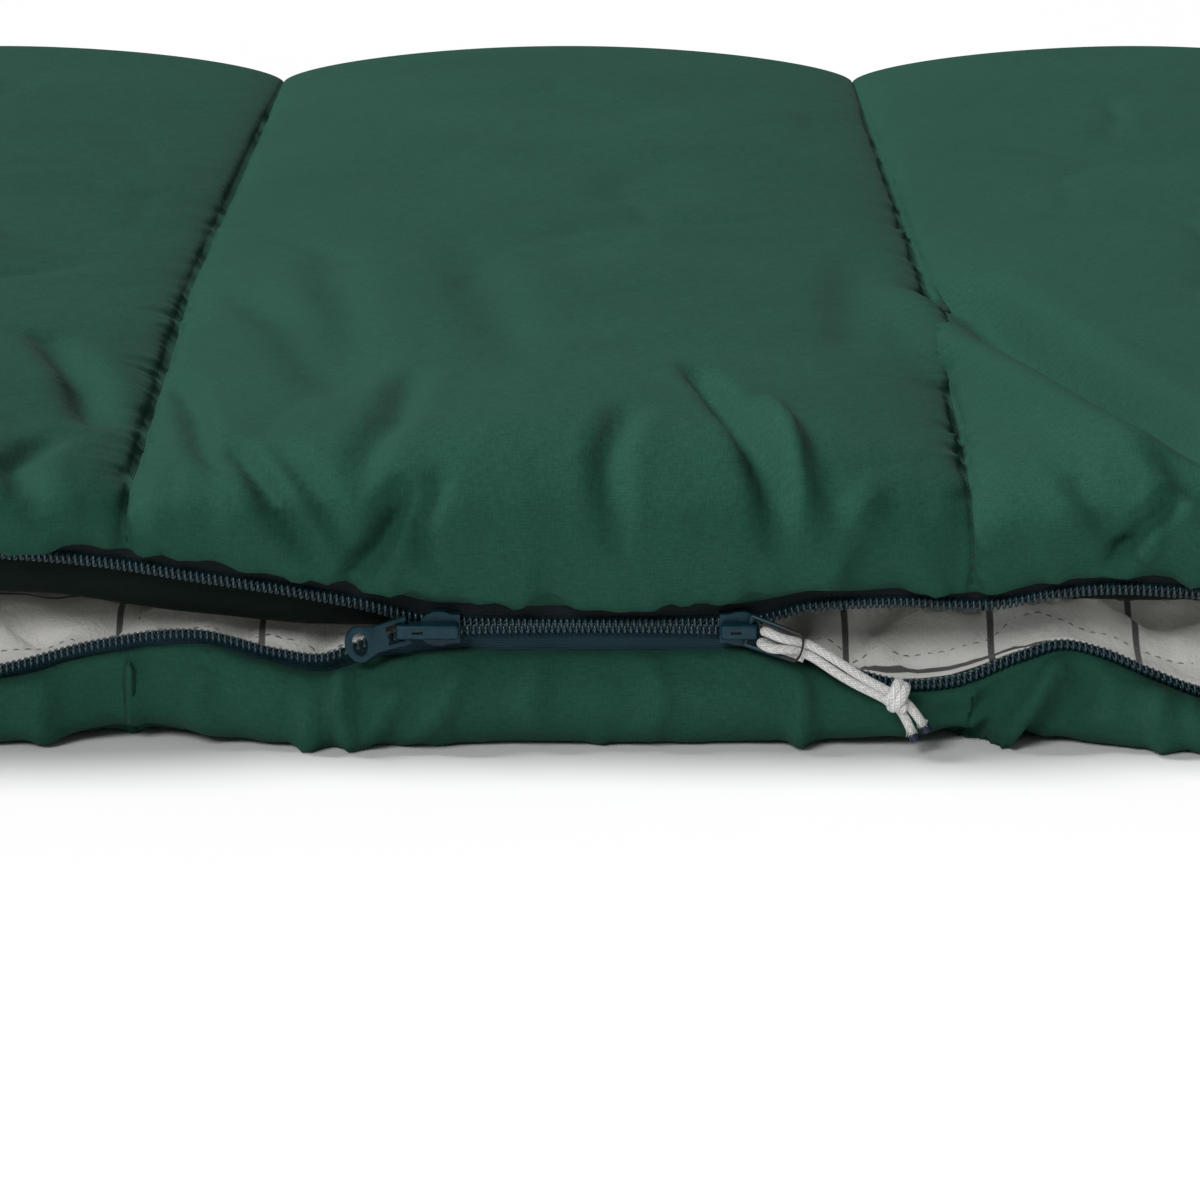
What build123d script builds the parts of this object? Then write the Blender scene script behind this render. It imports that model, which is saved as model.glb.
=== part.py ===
"""Rectangular sleeping bag, laid flat, with a short stretch of its two-way zip closed.

Millimetres. +X runs to the head end, -Y is the side with the zip, +Z is up, and z = 0 is the ground.
Two quilts lie on each other. They are sewn together along the far side and zipped along the near
side and the foot. Every soft piece is a plain closed solid of its real size and place.
"""

import math
import os

from build123d import *

os.makedirs("parts", exist_ok=True)

# ---- Driving dimensions -------------------------------------------------------------------------
bag_length = 2250.0
bag_width = 850.0
channel_count = 9  # quilted channels along the bag
corner_radius = 100.0  # rounded corner at the foot, on the zip side

bottom_height = 29.0
zip_gap = 14.0  # height between the two quilts
top_height = 52.0
top_valley_drop = 18.0  # how far a quilting line lies below the crown of its channels
bottom_rounds = (10.0, 8.0)  # roundings of a quilt's lower and upper edges
top_rounds = (10.0, 22.0)
fabric = 1.0  # thickness given to the shell fabric
lining_fabric = 0.8
fill_inset = 6.0  # the wadding stays this far inside the loose shell
fill_side_inset = 12.0
quilt_hem = 13.0  # width of the shell that turns under, round the lining
stitch_inset = 24.0  # topstitching of the linings, from the bag's edge
thread_radius = 0.4
seam_radius = 1.6  # bead of the sewn side
seam_web = 0.8

zip_depth = 8.0  # the zip lies this far behind the front of the quilts
tape_thickness = 0.6
coil_thickness = 2.7
coil_width = 3.4
coil_overhang = 0.5  # how far a coil stands over its tape's edge
closed_offset = 1.75  # coil centre from the middle of the closed chain
open_offset = 2.6
tape_reach = 6.7  # sewn edge of a tape from the middle of the chain
chain_closed = (-26.5, 50.5)  # the closed stretch of chain between the two sliders
chain_taper = (3.0, 9.0)  # distances past it between which the coils part

pull_thickness = 1.5
cord_diameter = 2.8
knot_radius = 4.4
cord_tip_length = 2.4

# ---- Places that follow from them ---------------------------------------------------------------
foot_x = -bag_length / 2
head_x = bag_length / 2
near_y = -bag_width / 2
hinge_y = bag_width / 2
far_y = hinge_y - 0.8
top_low = bottom_height + zip_gap
top_high = top_low + top_height
hinge_z = top_high / 2
valley_z = top_high - top_valley_drop
zip_z = bottom_height + zip_gap / 2
zip_y = near_y + zip_depth
corner_x = foot_x + corner_radius
corner_y = near_y + corner_radius
zip_radius = corner_radius - zip_depth
zip_head_end = head_x - 13
zip_far_end = 405.0
coil_face = tape_thickness / 2 + coil_thickness
channel = bag_length / channel_count
seam_places = [foot_x + channel * k for k in range(1, channel_count)]


def save(piece, name):
    """Label a finished piece and write it as its own file."""
    piece.part.label = name
    export_step(piece.part, f"parts/{name}.step")


# ---- Quilts -------------------------------------------------------------------------------------
def plan_slab(low, high, inset, rounds=(0, 0)):
    """The bag's outline between two heights, inset all round, with its two edges rounded."""
    x0, x1 = foot_x + inset, head_x - inset
    y0, y1 = near_y + inset, far_y - inset
    radius = corner_radius - inset
    with BuildPart() as slab:
        with BuildSketch(Plane.XY.offset(low)):
            with BuildLine():
                Polyline((x0 + radius, y0), (x1, y0), (x1, y1), (x0, y1), (x0, y0 + radius))
                RadiusArc((x0, y0 + radius), (x0 + radius, y0), -radius)
            make_face()
        extrude(amount=high - low)
        for level, size in zip((0, -1), rounds):
            if size:
                fillet(slab.edges().group_by(Axis.Z)[level], size)
    return slab.part


def crown_region(drop):
    """Everything under the crowned upper side of the top quilt, lowered by drop."""
    crown, valley = top_high - drop, valley_z - drop
    with BuildPart() as region:
        with BuildSketch(Plane.XZ):
            with BuildLine():
                for k in range(channel_count):
                    start = foot_x + channel * k
                    ThreePointArc((start, valley), (start + channel / 2, crown), (start + channel, valley))
                Polyline((head_x, valley), (head_x, 0), (foot_x, 0), (foot_x, valley))
            make_face()
        extrude(amount=bag_width, both=True)
    return region.part


def hollow_rounds(rounds):
    """The roundings of a shell's inner side."""
    return [size - fabric for size in rounds]


quilt_outside = plan_slab(0, bottom_height, 0, bottom_rounds)
quilt_inside = plan_slab(fabric, bottom_height - fabric, fabric, hollow_rounds(bottom_rounds))
lining_window = plan_slab(bottom_height - 2 * fabric, bottom_height + fabric, quilt_hem)
with BuildPart() as bottom_shell:
    add(quilt_outside)
    add(quilt_inside, mode=Mode.SUBTRACT)
    add(lining_window, mode=Mode.SUBTRACT)
save(bottom_shell, "bottom_shell")

bottom_lining_sheet = plan_slab(bottom_height - lining_fabric, bottom_height, quilt_hem)
with BuildPart() as bottom_lining:
    add(bottom_lining_sheet)
save(bottom_lining, "bottom_lining")

bottom_wadding = plan_slab(fill_inset, bottom_height - fill_inset, fill_side_inset, (5, 5))
with BuildPart() as bottom_fill:
    add(bottom_wadding)
save(bottom_fill, "bottom_fill")

quilt_outside = plan_slab(top_low, top_high, 0, top_rounds)
quilt_inside = plan_slab(top_low + fabric, top_high - fabric, fabric, hollow_rounds(top_rounds))
lining_window = plan_slab(top_low - fabric, top_low + 2 * fabric, quilt_hem)
outer_crown = crown_region(0)
inner_crown = crown_region(fabric)
with BuildPart() as top_space:
    add(quilt_inside)
    add(inner_crown, mode=Mode.INTERSECT)
with BuildPart() as top_shell:
    add(quilt_outside)
    add(outer_crown, mode=Mode.INTERSECT)
    add(top_space.part, mode=Mode.SUBTRACT)
    add(lining_window, mode=Mode.SUBTRACT)
save(top_shell, "top_shell")

top_lining_sheet = plan_slab(top_low, top_low + lining_fabric, quilt_hem)
with BuildPart() as top_lining:
    add(top_lining_sheet)
save(top_lining, "top_lining")

top_wadding = plan_slab(top_low + fill_inset, top_high - fill_inset, fill_side_inset, (5, 14))
wadding_crown = crown_region(fill_inset + 2)
with BuildPart() as top_fill:
    add(top_wadding)
    add(wadding_crown, mode=Mode.INTERSECT)
save(top_fill, "top_fill")

# Quilting seams across the bag, and the topstitching along the near edge of each lining.
thread_half = bag_width / 2 - 30
thread_lift = thread_radius + 0.05
for half_name, thread_z in (("top", valley_z + thread_lift + 0.15), ("bottom", bottom_height + thread_lift)):
    with BuildPart() as quilting_thread:
        with BuildSketch(Plane.XZ):
            with Locations(*[(seam_x, thread_z) for seam_x in seam_places]):
                Circle(thread_radius)
        extrude(amount=thread_half, both=True)
    save(quilting_thread, f"{half_name}_quilting_thread")

for half_name, thread_z in (("top", top_low - thread_lift), ("bottom", bottom_height + thread_lift + 1)):
    with BuildPart() as lining_topstitch:
        with BuildSketch(Plane.YZ.offset(corner_x)):
            with Locations((near_y + stitch_inset + 4, thread_z)):
                Circle(thread_radius)
        extrude(amount=head_x - quilt_hem - 2 - corner_x)
    save(lining_topstitch, f"{half_name}_lining_topstitch")

# The sewn side: a narrow strip of shell fabric, and the bead that the top quilt turns about.
seam_foot = 12.0
with BuildPart() as side_seam:
    with BuildSketch(Plane.YZ):
        with Locations((hinge_y, hinge_z)):
            Circle(seam_radius)
        with Locations((hinge_y, (hinge_z + seam_foot) / 2)):
            Rectangle(seam_web, hinge_z - seam_foot)
    extrude(amount=bag_length / 2 - 6, both=True)
save(side_seam, "side_seam")

# Draft tube: a stuffed roll of shell fabric that hangs behind the upper tape.
draft_drop = 11.6
with BuildPart() as draft_tube:
    with BuildSketch(Plane.YZ.offset(corner_x)):
        with Locations((near_y + 19, top_low - draft_drop / 2)):
            RectangleRounded(10, draft_drop, 4)
    extrude(amount=head_x - quilt_hem - 2 - corner_x)
save(draft_tube, "draft_tube")

# Two tape loops at the foot, under the zip, for hanging the bag up to air.
loop_reach, loop_width, loop_tape = 34.0, 12.0, 1.2
for loop_name, loop_y in (("near", -180.0), ("far", 330.0)):
    with BuildPart() as hanging_loop:
        with BuildSketch(Plane.XZ.offset(-loop_y - loop_width / 2)):
            with Locations((foot_x - loop_reach / 2 + 0.6, 8.0)):
                SlotOverall(loop_reach, 8.0)
                SlotOverall(loop_reach - 2 * loop_tape, 8.0 - 2 * loop_tape, mode=Mode.SUBTRACT)
            with Locations((foot_x + 4.0, 8.0)):
                Rectangle(8.0, 12.0, mode=Mode.SUBTRACT)
        extrude(amount=loop_width)
    save(hanging_loop, f"hanging_loop_{loop_name}")


# ---- Zip: tapes and coils -----------------------------------------------------------------------
def coil_centre(x):
    """Distance of a coil's centre from the middle of the chain, at a place along the side."""
    past = max(chain_closed[0] - x, x - chain_closed[1], 0)
    share = min(max((past - chain_taper[0]) / (chain_taper[1] - chain_taper[0]), 0), 1)
    return closed_offset + share * (open_offset - closed_offset)


zip_bends = sorted([chain_closed[0] - d for d in chain_taper] + [chain_closed[1] + d for d in chain_taper])
zip_places = [corner_x, *zip_bends, zip_head_end]


def zip_strip(up, inner, outer, w0, w1):
    """A strip of the zip along the side, round the foot corner and along the foot.

    up is 1 for the upper half and -1 for the lower, inner and outer give its edges' distances from
    the middle of the chain at a place x, and w0 and w1 are its two faces, outwards from the tape.
    """
    r0, r1 = zip_radius + w0, zip_radius + w1
    low, high = sorted(zip_z + up * edge(corner_x) for edge in (inner, outer))
    with BuildPart() as strip:
        with BuildSketch(Plane.XZ.offset(-zip_y + w0)):
            with BuildLine():
                near_edge = [(x, zip_z + up * inner(x)) for x in zip_places]
                far_edge = [(x, zip_z + up * outer(x)) for x in reversed(zip_places)]
                Polyline(*near_edge, *far_edge, close=True)
            make_face()
        extrude(amount=w1 - w0)
        with BuildSketch(Plane.XY.offset(low)):
            with BuildLine():
                RadiusArc((corner_x - r1, corner_y), (corner_x, corner_y - r1), -r1)
                Line((corner_x, corner_y - r1), (corner_x, corner_y - r0))
                RadiusArc((corner_x, corner_y - r0), (corner_x - r0, corner_y), r0)
                inner_x, outer_x = corner_x - r0, corner_x - r1
                far_corners = (inner_x, zip_far_end), (outer_x, zip_far_end)
                Polyline((inner_x, corner_y), *far_corners, (outer_x, corner_y))
            make_face()
        extrude(amount=high - low)
    return strip


def tape_inner(x):
    """Free edge of a tape, under its coil."""
    return coil_centre(x) - coil_width / 2 + coil_overhang


def tape_outer(x):
    """Sewn edge of a tape."""
    return tape_reach


def coil_inner(x):
    """Teeth side of a coil."""
    return coil_centre(x) - coil_width / 2


def coil_outer(x):
    """Back of a coil."""
    return coil_centre(x) + coil_width / 2


stop_size = (3.4, 4.4, 3.6)
end_pin_size = (3.4, 14.0, 2.6)
for half_name, up in (("lower", -1), ("upper", 1)):
    zip_tape = zip_strip(up, tape_inner, tape_outer, -tape_thickness / 2, tape_thickness / 2)
    save(zip_tape, f"zip_tape_{half_name}")
    zip_coil = zip_strip(up, coil_inner, coil_outer, tape_thickness / 2, coil_face)
    save(zip_coil, f"zip_coil_{half_name}")

    with BuildPart() as head_stop:
        stop_x = zip_head_end + stop_size[0] / 2 + 0.4
        with Locations((stop_x, zip_y - coil_face / 2, zip_z + up * open_offset)):
            Box(*stop_size)
        fillet(head_stop.edges(), 0.5)
    save(head_stop, f"head_stop_{half_name}")

    with BuildPart() as end_pin:
        pin_x = corner_x - zip_radius - coil_face / 2
        with Locations((pin_x, zip_far_end + end_pin_size[1] / 2 + 0.4, zip_z + up * open_offset)):
            Box(*end_pin_size)
        fillet(end_pin.edges(), 0.6)
    save(end_pin, f"end_pin_{half_name}")

# ---- Sliders ------------------------------------------------------------------------------------
# A slider is drawn with u from its closed end to its mouth, v up from the middle of the chain and
# w outwards from the tape.
back_plate = (-1.8, -0.6)
front_plate = (coil_face + 0.25, coil_face + 1.55)
flange_tip = 0.55
plate_edge = [(0, 4.3), (2.6, 4.4), (4.8, 5.1), (7.6, 5.2), (10.0, 4.3), (11.6, 2.6)]
channel_edge = [(-1, 3.6), (2.5, 3.65), (6.5, 4.5), (10.0, 4.6), (14, 5.2)]
divider_at, divider_size = 9.4, (1.7, 0.6)
crown_top = front_plate[1] + 4.85
crown_start = 0.3
crown_half = 2.3
crown_wall = 0.9
crown_end_wall = 1.1
bar_setback = 2.4  # the pull's bar from the crown's open end
bar_room = 1.6  # half the length of the slot for the bar
bar_w = front_plate[1] + 1.75
bar_radius = 0.75
spring_w = (bar_w + bar_radius + 0.3, bar_w + bar_radius + 0.7)
pawl_u = 3.0


def mirrored(points):
    """A closed outline from its upper half."""
    return [*points, *[(u, -v) for u, v in reversed(points)]]


class Slider:
    """Places of one slider: its closed end, the way its mouth faces and where its pull turns."""

    def __init__(self, name, tail_x, way, crown_length, lean, droop):
        self.name = name
        self.tail_x = tail_x
        self.way = way
        self.crown_length = crown_length
        self.bar_u = crown_length - bar_setback
        self.lean = math.radians(lean)
        self.droop = math.radians(droop)

    def flat(self, points):
        """Points (u, v) as points of a sketch on the plane of the chain."""
        return [(self.tail_x + self.way * u, zip_z + v) for u, v in points]

    def level(self, w):
        """The plane of the chain, moved outwards by w."""
        return Plane.XZ.offset(-zip_y + w)

    def middle(self, u, v, w):
        """Middle of a block from its spans in u, v and w."""
        return self.tail_x + self.way * sum(u) / 2, zip_y - sum(w) / 2, zip_z + sum(v) / 2

    def pull_plane(self):
        """The plane of the pull: x runs from its bar to its free end and z points outwards."""
        flat_x, flat_z = self.way * math.cos(self.droop), -math.sin(self.droop)
        along = (flat_x * math.cos(self.lean), -math.sin(self.lean), flat_z * math.cos(self.lean))
        out = (-flat_x * math.sin(self.lean), -math.cos(self.lean), -flat_z * math.sin(self.lean))
        origin = (self.tail_x + self.way * self.bar_u, zip_y - bar_w, zip_z)
        return Plane(origin=origin, x_dir=along, z_dir=out)


def extents(u, v, w):
    """Size of a block from its spans in u, v and w."""
    return u[1] - u[0], w[1] - w[0], v[1] - v[0]


foot_slider = Slider("foot_slider", chain_closed[0], -1, 18.8, 18, 13)
head_slider = Slider("head_slider", chain_closed[1], 1, 11.0, 24, 14)

for slider in (foot_slider, head_slider):
    with BuildPart() as slider_body:
        for w0, w1 in (back_plate, front_plate):
            with BuildSketch(slider.level(w0)):
                with BuildLine():
                    Polyline(*slider.flat(mirrored(plate_edge)), close=True)
                make_face()
            extrude(amount=w1 - w0)
        with BuildSketch(slider.level(flange_tip)):
            with BuildLine():
                Polyline(*slider.flat(mirrored(plate_edge)), close=True)
            make_face()
            with BuildLine():
                Polyline(*slider.flat(mirrored(channel_edge)), close=True)
            make_face(mode=Mode.SUBTRACT)
        extrude(amount=front_plate[0] - flange_tip)
        with BuildSketch(slider.level(back_plate[1])):
            with Locations(*slider.flat([(divider_at, 0)])):
                Ellipse(*divider_size)
        extrude(amount=front_plate[0] - back_plate[1])
        pawl_hole = ((pawl_u - 0.8, pawl_u + 0.8), (-0.9, 0.9), (front_plate[0] - 1, front_plate[1] + 1))
        with Locations(slider.middle(*pawl_hole)):
            Box(*extents(*pawl_hole), mode=Mode.SUBTRACT)
    save(slider_body, f"{slider.name}_body")

    length = slider.crown_length
    block = ((crown_start, length), (-crown_half, crown_half), (front_plate[1], crown_top))
    side = crown_half - crown_wall
    pocket = (
        (crown_start + crown_end_wall, length - crown_end_wall),
        (-side, side),
        (front_plate[1] - 1, crown_top - crown_wall),
    )
    bar_slot = (
        (slider.bar_u - bar_room, slider.bar_u + bar_room),
        (-crown_half - 1, crown_half + 1),
        (front_plate[1] + 0.5, bar_w + 1.3),
    )
    window_u = slider.bar_u - 3.9
    window = ((window_u - 1.6, window_u + 1.6), (-0.45, 0.45), (crown_top - 2, crown_top + 1))
    with BuildPart() as crown:
        with Locations(slider.middle(*block)):
            Box(*extents(*block))
        fillet(crown.edges().filter_by(Axis.X).group_by(Axis.Y)[0], 1.1)
        fillet(crown.edges().group_by(Axis.Y)[0].filter_by(Axis.Z), 0.9)
        for hollow in (pocket, bar_slot, window):
            with Locations(slider.middle(*hollow)):
                Box(*extents(*hollow), mode=Mode.SUBTRACT)
    save(crown, f"{slider.name}_crown")

    leaf = ((pawl_u - 0.9, length - crown_end_wall - 0.5), (-1.1, 1.1), spring_w)
    pawl = ((pawl_u - 0.4, pawl_u + 0.4), (-0.5, 0.5), (coil_face + 0.15, spring_w[0]))
    with BuildPart() as lock_spring:
        for bar in (leaf, pawl):
            with Locations(slider.middle(*bar)):
                Box(*extents(*bar))
    save(lock_spring, f"{slider.name}_lock_spring")

# ---- Pulls --------------------------------------------------------------------------------------
bar_end = -1.0  # the arms reach this far behind the bar's axis

# Foot pull: a stamped tab with a fork at the crown and an upright oval ring at its free end.
fork_half, fork_inner, fork_depth = 4.3, 2.85, 5.6
waist_at, waist_half = 9.3, 3.9
ring_at, ring_long, ring_wide, ring_wall = 14.2, 4.3, 5.4, 1.9
foot_pull = foot_slider.pull_plane()
tab_half = [(bar_end, fork_half), (waist_at, waist_half), (ring_at, ring_wide)]
with BuildPart() as foot_pull_tab:
    with BuildSketch(foot_pull):
        with BuildLine():
            Polyline(*mirrored(tab_half), close=True)
        make_face()
        with Locations((ring_at, 0)):
            Ellipse(ring_long, ring_wide)
            Ellipse(ring_long - ring_wall, ring_wide - ring_wall, mode=Mode.SUBTRACT)
        with Locations(((bar_end - 1 + fork_depth) / 2, 0)):
            Rectangle(fork_depth - bar_end + 1, 2 * fork_inner, mode=Mode.SUBTRACT)
    extrude(amount=pull_thickness / 2, both=True)
    with BuildSketch(Plane(origin=foot_pull.origin, z_dir=foot_pull.y_dir)):
        Circle(bar_radius)
    extrude(amount=fork_half - 0.2, both=True)
save(foot_pull_tab, "foot_pull_tab")

# Head pull: an open loop that narrows to its end bar, with a cord hitched through it.
loop_start, loop_end = (bar_end, 5.2), (18.2, 4.1)
loop_wall = 1.3
head_pull = head_slider.pull_plane()
window_half = [(bar_end - 1, 3.95), (0, 3.9), (loop_end[0] - loop_wall, loop_end[1] - loop_wall)]
with BuildPart() as head_pull_loop:
    with BuildSketch(head_pull) as loop_outline:
        with BuildLine():
            Polyline(*mirrored([loop_start, loop_end]), close=True)
        make_face()
        fillet(loop_outline.vertices().sort_by(lambda v: (Vector(*v) - head_pull.origin).length)[-2:], 1.6)
        with BuildLine():
            Polyline(*mirrored(window_half), close=True)
        make_face(mode=Mode.SUBTRACT)
    extrude(amount=pull_thickness / 2, both=True)
    with BuildSketch(Plane(origin=head_pull.origin, z_dir=head_pull.y_dir)):
        Circle(bar_radius)
    extrude(amount=loop_start[1] - 0.3, both=True)
save(head_pull_loop, "head_pull_loop")

# ---- Pull cord ----------------------------------------------------------------------------------
# One doubled cord. Each of its two strands starts behind the end bar, runs towards the crown, turns
# back outside the loop, passes behind the bar again and goes through the knot to its sealed tip.
knot_at = (102.7, -434.0, 19.0)
strand_routes = {
    "upper": [
        (76.7, -425.6, 31.4),
        (71.2, -424.6, 32.7),
        (66.0, -424.2, 34.7),
        (63.2, -425.4, 36.4),
        (64.5, -428.3, 36.9),
        (67.8, -429.5, 35.5),
        (71.5, -428.3, 34.3),
        (75.3, -427.3, 33.4),
        (79.3, -428.7, 31.9),
        (85.9, -430.7, 28.1),
        (92.6, -432.2, 23.9),
        (99.1, -433.5, 20.7),
        (104.4, -434.1, 17.9),
        (107.8, -434.2, 14.2),
        (110.5, -434.3, 10.0),
    ],
    "lower": [
        (75.5, -426.0, 28.2),
        (70.3, -425.1, 30.0),
        (65.5, -424.4, 32.3),
        (62.4, -425.5, 33.1),
        (63.0, -428.2, 32.8),
        (66.0, -429.8, 32.0),
        (70.1, -428.7, 31.8),
        (74.6, -427.3, 30.5),
        (78.5, -428.8, 29.0),
        (84.8, -430.6, 24.9),
        (91.5, -432.0, 21.3),
        (98.1, -433.1, 18.4),
        (102.8, -433.6, 15.6),
        (105.4, -434.1, 11.9),
        (107.3, -434.5, 7.5),
    ],
}
run_share = 0.45  # share of the shorter run that an arc takes up
tip_radius = cord_diameter / 2 + 0.1


def corner_radii(points):
    """Radius of each arc, as large as its two runs allow."""
    corners = [Vector(*p) for p in points]
    radii = []
    for before, at, after in zip(corners, corners[1:], corners[2:]):
        turn = math.radians((at - before).get_angle(after - at))
        shorter = min((at - before).length, (after - at).length)
        radii.append(run_share * shorter / math.tan(turn / 2))
    return radii


for strand, route in strand_routes.items():
    arcs = corner_radii(route)
    with BuildPart() as pull_cord:
        with BuildLine():
            strand_line = FilletPolyline(*route, radius=arcs)
        with BuildSketch(Plane(origin=strand_line @ 0, z_dir=strand_line % 0)):
            Circle(cord_diameter / 2)
        sweep()
    save(pull_cord, f"pull_cord_{strand}")
    tube = math.pi * cord_diameter**2 / 4 * strand_line.length
    print(strand, "strand length", round(strand_line.length, 1), "radii", [round(r, 1) for r in arcs])
    print("  volume over section times length", round(pull_cord.part.volume / tube, 4))

    with BuildPart() as cord_tip:
        with BuildSketch(Plane(origin=strand_line @ 1, z_dir=strand_line % 1)):
            Circle(tip_radius)
        extrude(amount=cord_tip_length)
        fillet(cord_tip.edges(), 0.3)
    save(cord_tip, f"cord_tip_{strand}")

with BuildPart() as cord_knot:
    with Locations(knot_at):
        Sphere(knot_radius)
save(cord_knot, "cord_knot")
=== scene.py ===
"""Rectangular sleeping bag: quilts, linings, zip, sliders, pull cord and studio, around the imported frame.

Metres. +X runs to the head end, -Y is the side with the zip, z = 0 is the ground.
"""

import math

import bpy
import numpy as np
from mathutils import Matrix, Vector


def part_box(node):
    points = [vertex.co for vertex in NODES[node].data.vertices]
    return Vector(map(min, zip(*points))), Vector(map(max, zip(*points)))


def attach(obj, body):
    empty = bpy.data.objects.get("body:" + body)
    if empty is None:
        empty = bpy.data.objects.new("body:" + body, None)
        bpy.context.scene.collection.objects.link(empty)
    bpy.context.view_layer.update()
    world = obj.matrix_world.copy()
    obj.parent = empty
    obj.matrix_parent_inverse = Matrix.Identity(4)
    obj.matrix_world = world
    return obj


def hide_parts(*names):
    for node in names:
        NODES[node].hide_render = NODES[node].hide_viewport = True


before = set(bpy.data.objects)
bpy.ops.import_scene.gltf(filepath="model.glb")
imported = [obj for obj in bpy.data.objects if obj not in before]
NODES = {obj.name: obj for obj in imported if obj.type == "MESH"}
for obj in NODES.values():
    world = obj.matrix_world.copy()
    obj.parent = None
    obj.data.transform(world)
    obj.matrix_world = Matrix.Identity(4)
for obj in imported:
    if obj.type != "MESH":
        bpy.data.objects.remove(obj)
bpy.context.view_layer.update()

bl_info = {
    "name": "Rectangular sleeping bag",
    "version": (1, 0, 0),
    "blender": (4, 5, 0),
    "location": "View3D > Sidebar > Sleeping Bag",
    "description": "Builds a quilted sleeping bag with its two-way zip, sliders and pull cord",
    "category": "Object",
}

MM = 0.001

# ---- Places taken from the frame ----------------------------------------------------------------
BOTTOM_LOW, BOTTOM_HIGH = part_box("bottom_shell")
TOP_LOW, TOP_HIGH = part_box("top_shell")
TAPE_LOW, TAPE_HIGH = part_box("zip_tape_lower")
FOOT_X, HEAD_X = BOTTOM_LOW.x, BOTTOM_HIGH.x
NEAR_Y, FAR_Y = BOTTOM_LOW.y, BOTTOM_HIGH.y
ZIP_Z = (BOTTOM_HIGH.z + TOP_LOW.z) / 2
ZIP_Y = TAPE_LOW.y + 0.3 * MM
ZIP_FOOT_X = TAPE_LOW.x + 0.3 * MM
ZIP_FAR_Y = TAPE_HIGH.y
ZIP_HEAD_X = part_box("zip_coil_lower")[1].x
CORNER = 100 * MM
CORNER_X, CORNER_Y = FOOT_X + CORNER, NEAR_Y + CORNER
ZIP_RADIUS = CORNER_X - ZIP_FOOT_X
CHANNELS = 9
CHANNEL = (HEAD_X - FOOT_X) / CHANNELS
SEAMS = [FOOT_X + CHANNEL * k for k in range(1, CHANNELS)]
# The stretch beside the sliders, which has the finest meshes.
FINE_FROM, FINE_TO = -190 * MM, 225 * MM
VALLEY_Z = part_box("top_quilting_thread")[0].z
HEM = 13 * MM
FOOT_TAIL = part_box("foot_slider_body")[1].x
HEAD_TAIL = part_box("head_slider_body")[0].x


# ---- Settings -----------------------------------------------------------------------------------
def length_property(name, description, default):
    """A size in metres, shown with its unit."""
    return bpy.props.FloatProperty(
        name=name, description=description, default=default, min=0, unit="LENGTH", precision=5
    )


def colour_property(name, description, default):
    """A linear colour."""
    return bpy.props.FloatVectorProperty(
        name=name, description=description, default=default, size=3, min=0, max=1, subtype="COLOR"
    )


class QuiltSettings(bpy.types.PropertyGroup):
    """Shape and colours of the two quilts and their linings."""

    fine_step: length_property("Fine step", "Mesh step where the cloth is finest", 2.6 * MM)
    coarse_step: length_property("Coarse step", "Mesh step over the rest of the cloth", 7.5 * MM)
    front_bulge: length_property("Front bulge", "How far a channel stands out over the zip", 15 * MM)
    pucker: length_property("Pucker", "Height of the gathers along a quilting seam", 1.5 * MM)
    fold_depth: bpy.props.FloatProperty(
        name="Fold depth", description="Strength of the soft folds", default=2.3, min=0, max=4
    )
    shell_colour: colour_property("Shell", "Colour of the shell fabric", (0.0185, 0.079, 0.0535))
    lining_colour: colour_property("Lining", "Colour of the lining", (0.87, 0.86, 0.82))
    check_colour: colour_property("Check", "Colour of the lining's window check", (0.022, 0.022, 0.02))
    check_pitch: length_property("Check pitch", "Distance between two lines of the check", 44 * MM)


class ZipSettings(bpy.types.PropertyGroup):
    """Sizes and colours of the zip and its pulls."""

    pitch: length_property("Pitch", "Length of one turn of a coil", 1.8 * MM)
    wire: length_property("Wire", "Radius of the coil's nylon wire", 0.5 * MM)
    coil_colour: colour_property("Coil", "Colour of the coils", (0.003, 0.023, 0.033))
    tape_colour: colour_property("Tape", "Colour of the tapes", (0.007, 0.031, 0.043))
    paint_colour: colour_property("Paint", "Colour of the sliders and pulls", (0.003, 0.030, 0.045))
    cord_colour: colour_property("Cord", "Colour of the pull cord", (0.84, 0.84, 0.82))
    cord_diameter: length_property("Cord diameter", "Diameter of the pull cord", 2.8 * MM)


class StageSettings(bpy.types.PropertyGroup):
    """Camera, floor and lights."""

    distance: length_property("Distance", "Camera to the zip", 1.35)
    elevation: bpy.props.FloatProperty(
        name="Elevation",
        description="Height of the camera as an angle",
        default=math.radians(15),
        subtype="ANGLE",
    )
    view_width: length_property("View width", "Width of the view at the zip", 0.357)
    key_power: bpy.props.FloatProperty(
        name="Key", description="Strength of the soft light from behind and the left", default=2.75, min=0
    )
    fill_power: bpy.props.FloatProperty(
        name="Fill", description="Strength of the soft light from the front", default=1.32, min=0
    )


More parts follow.
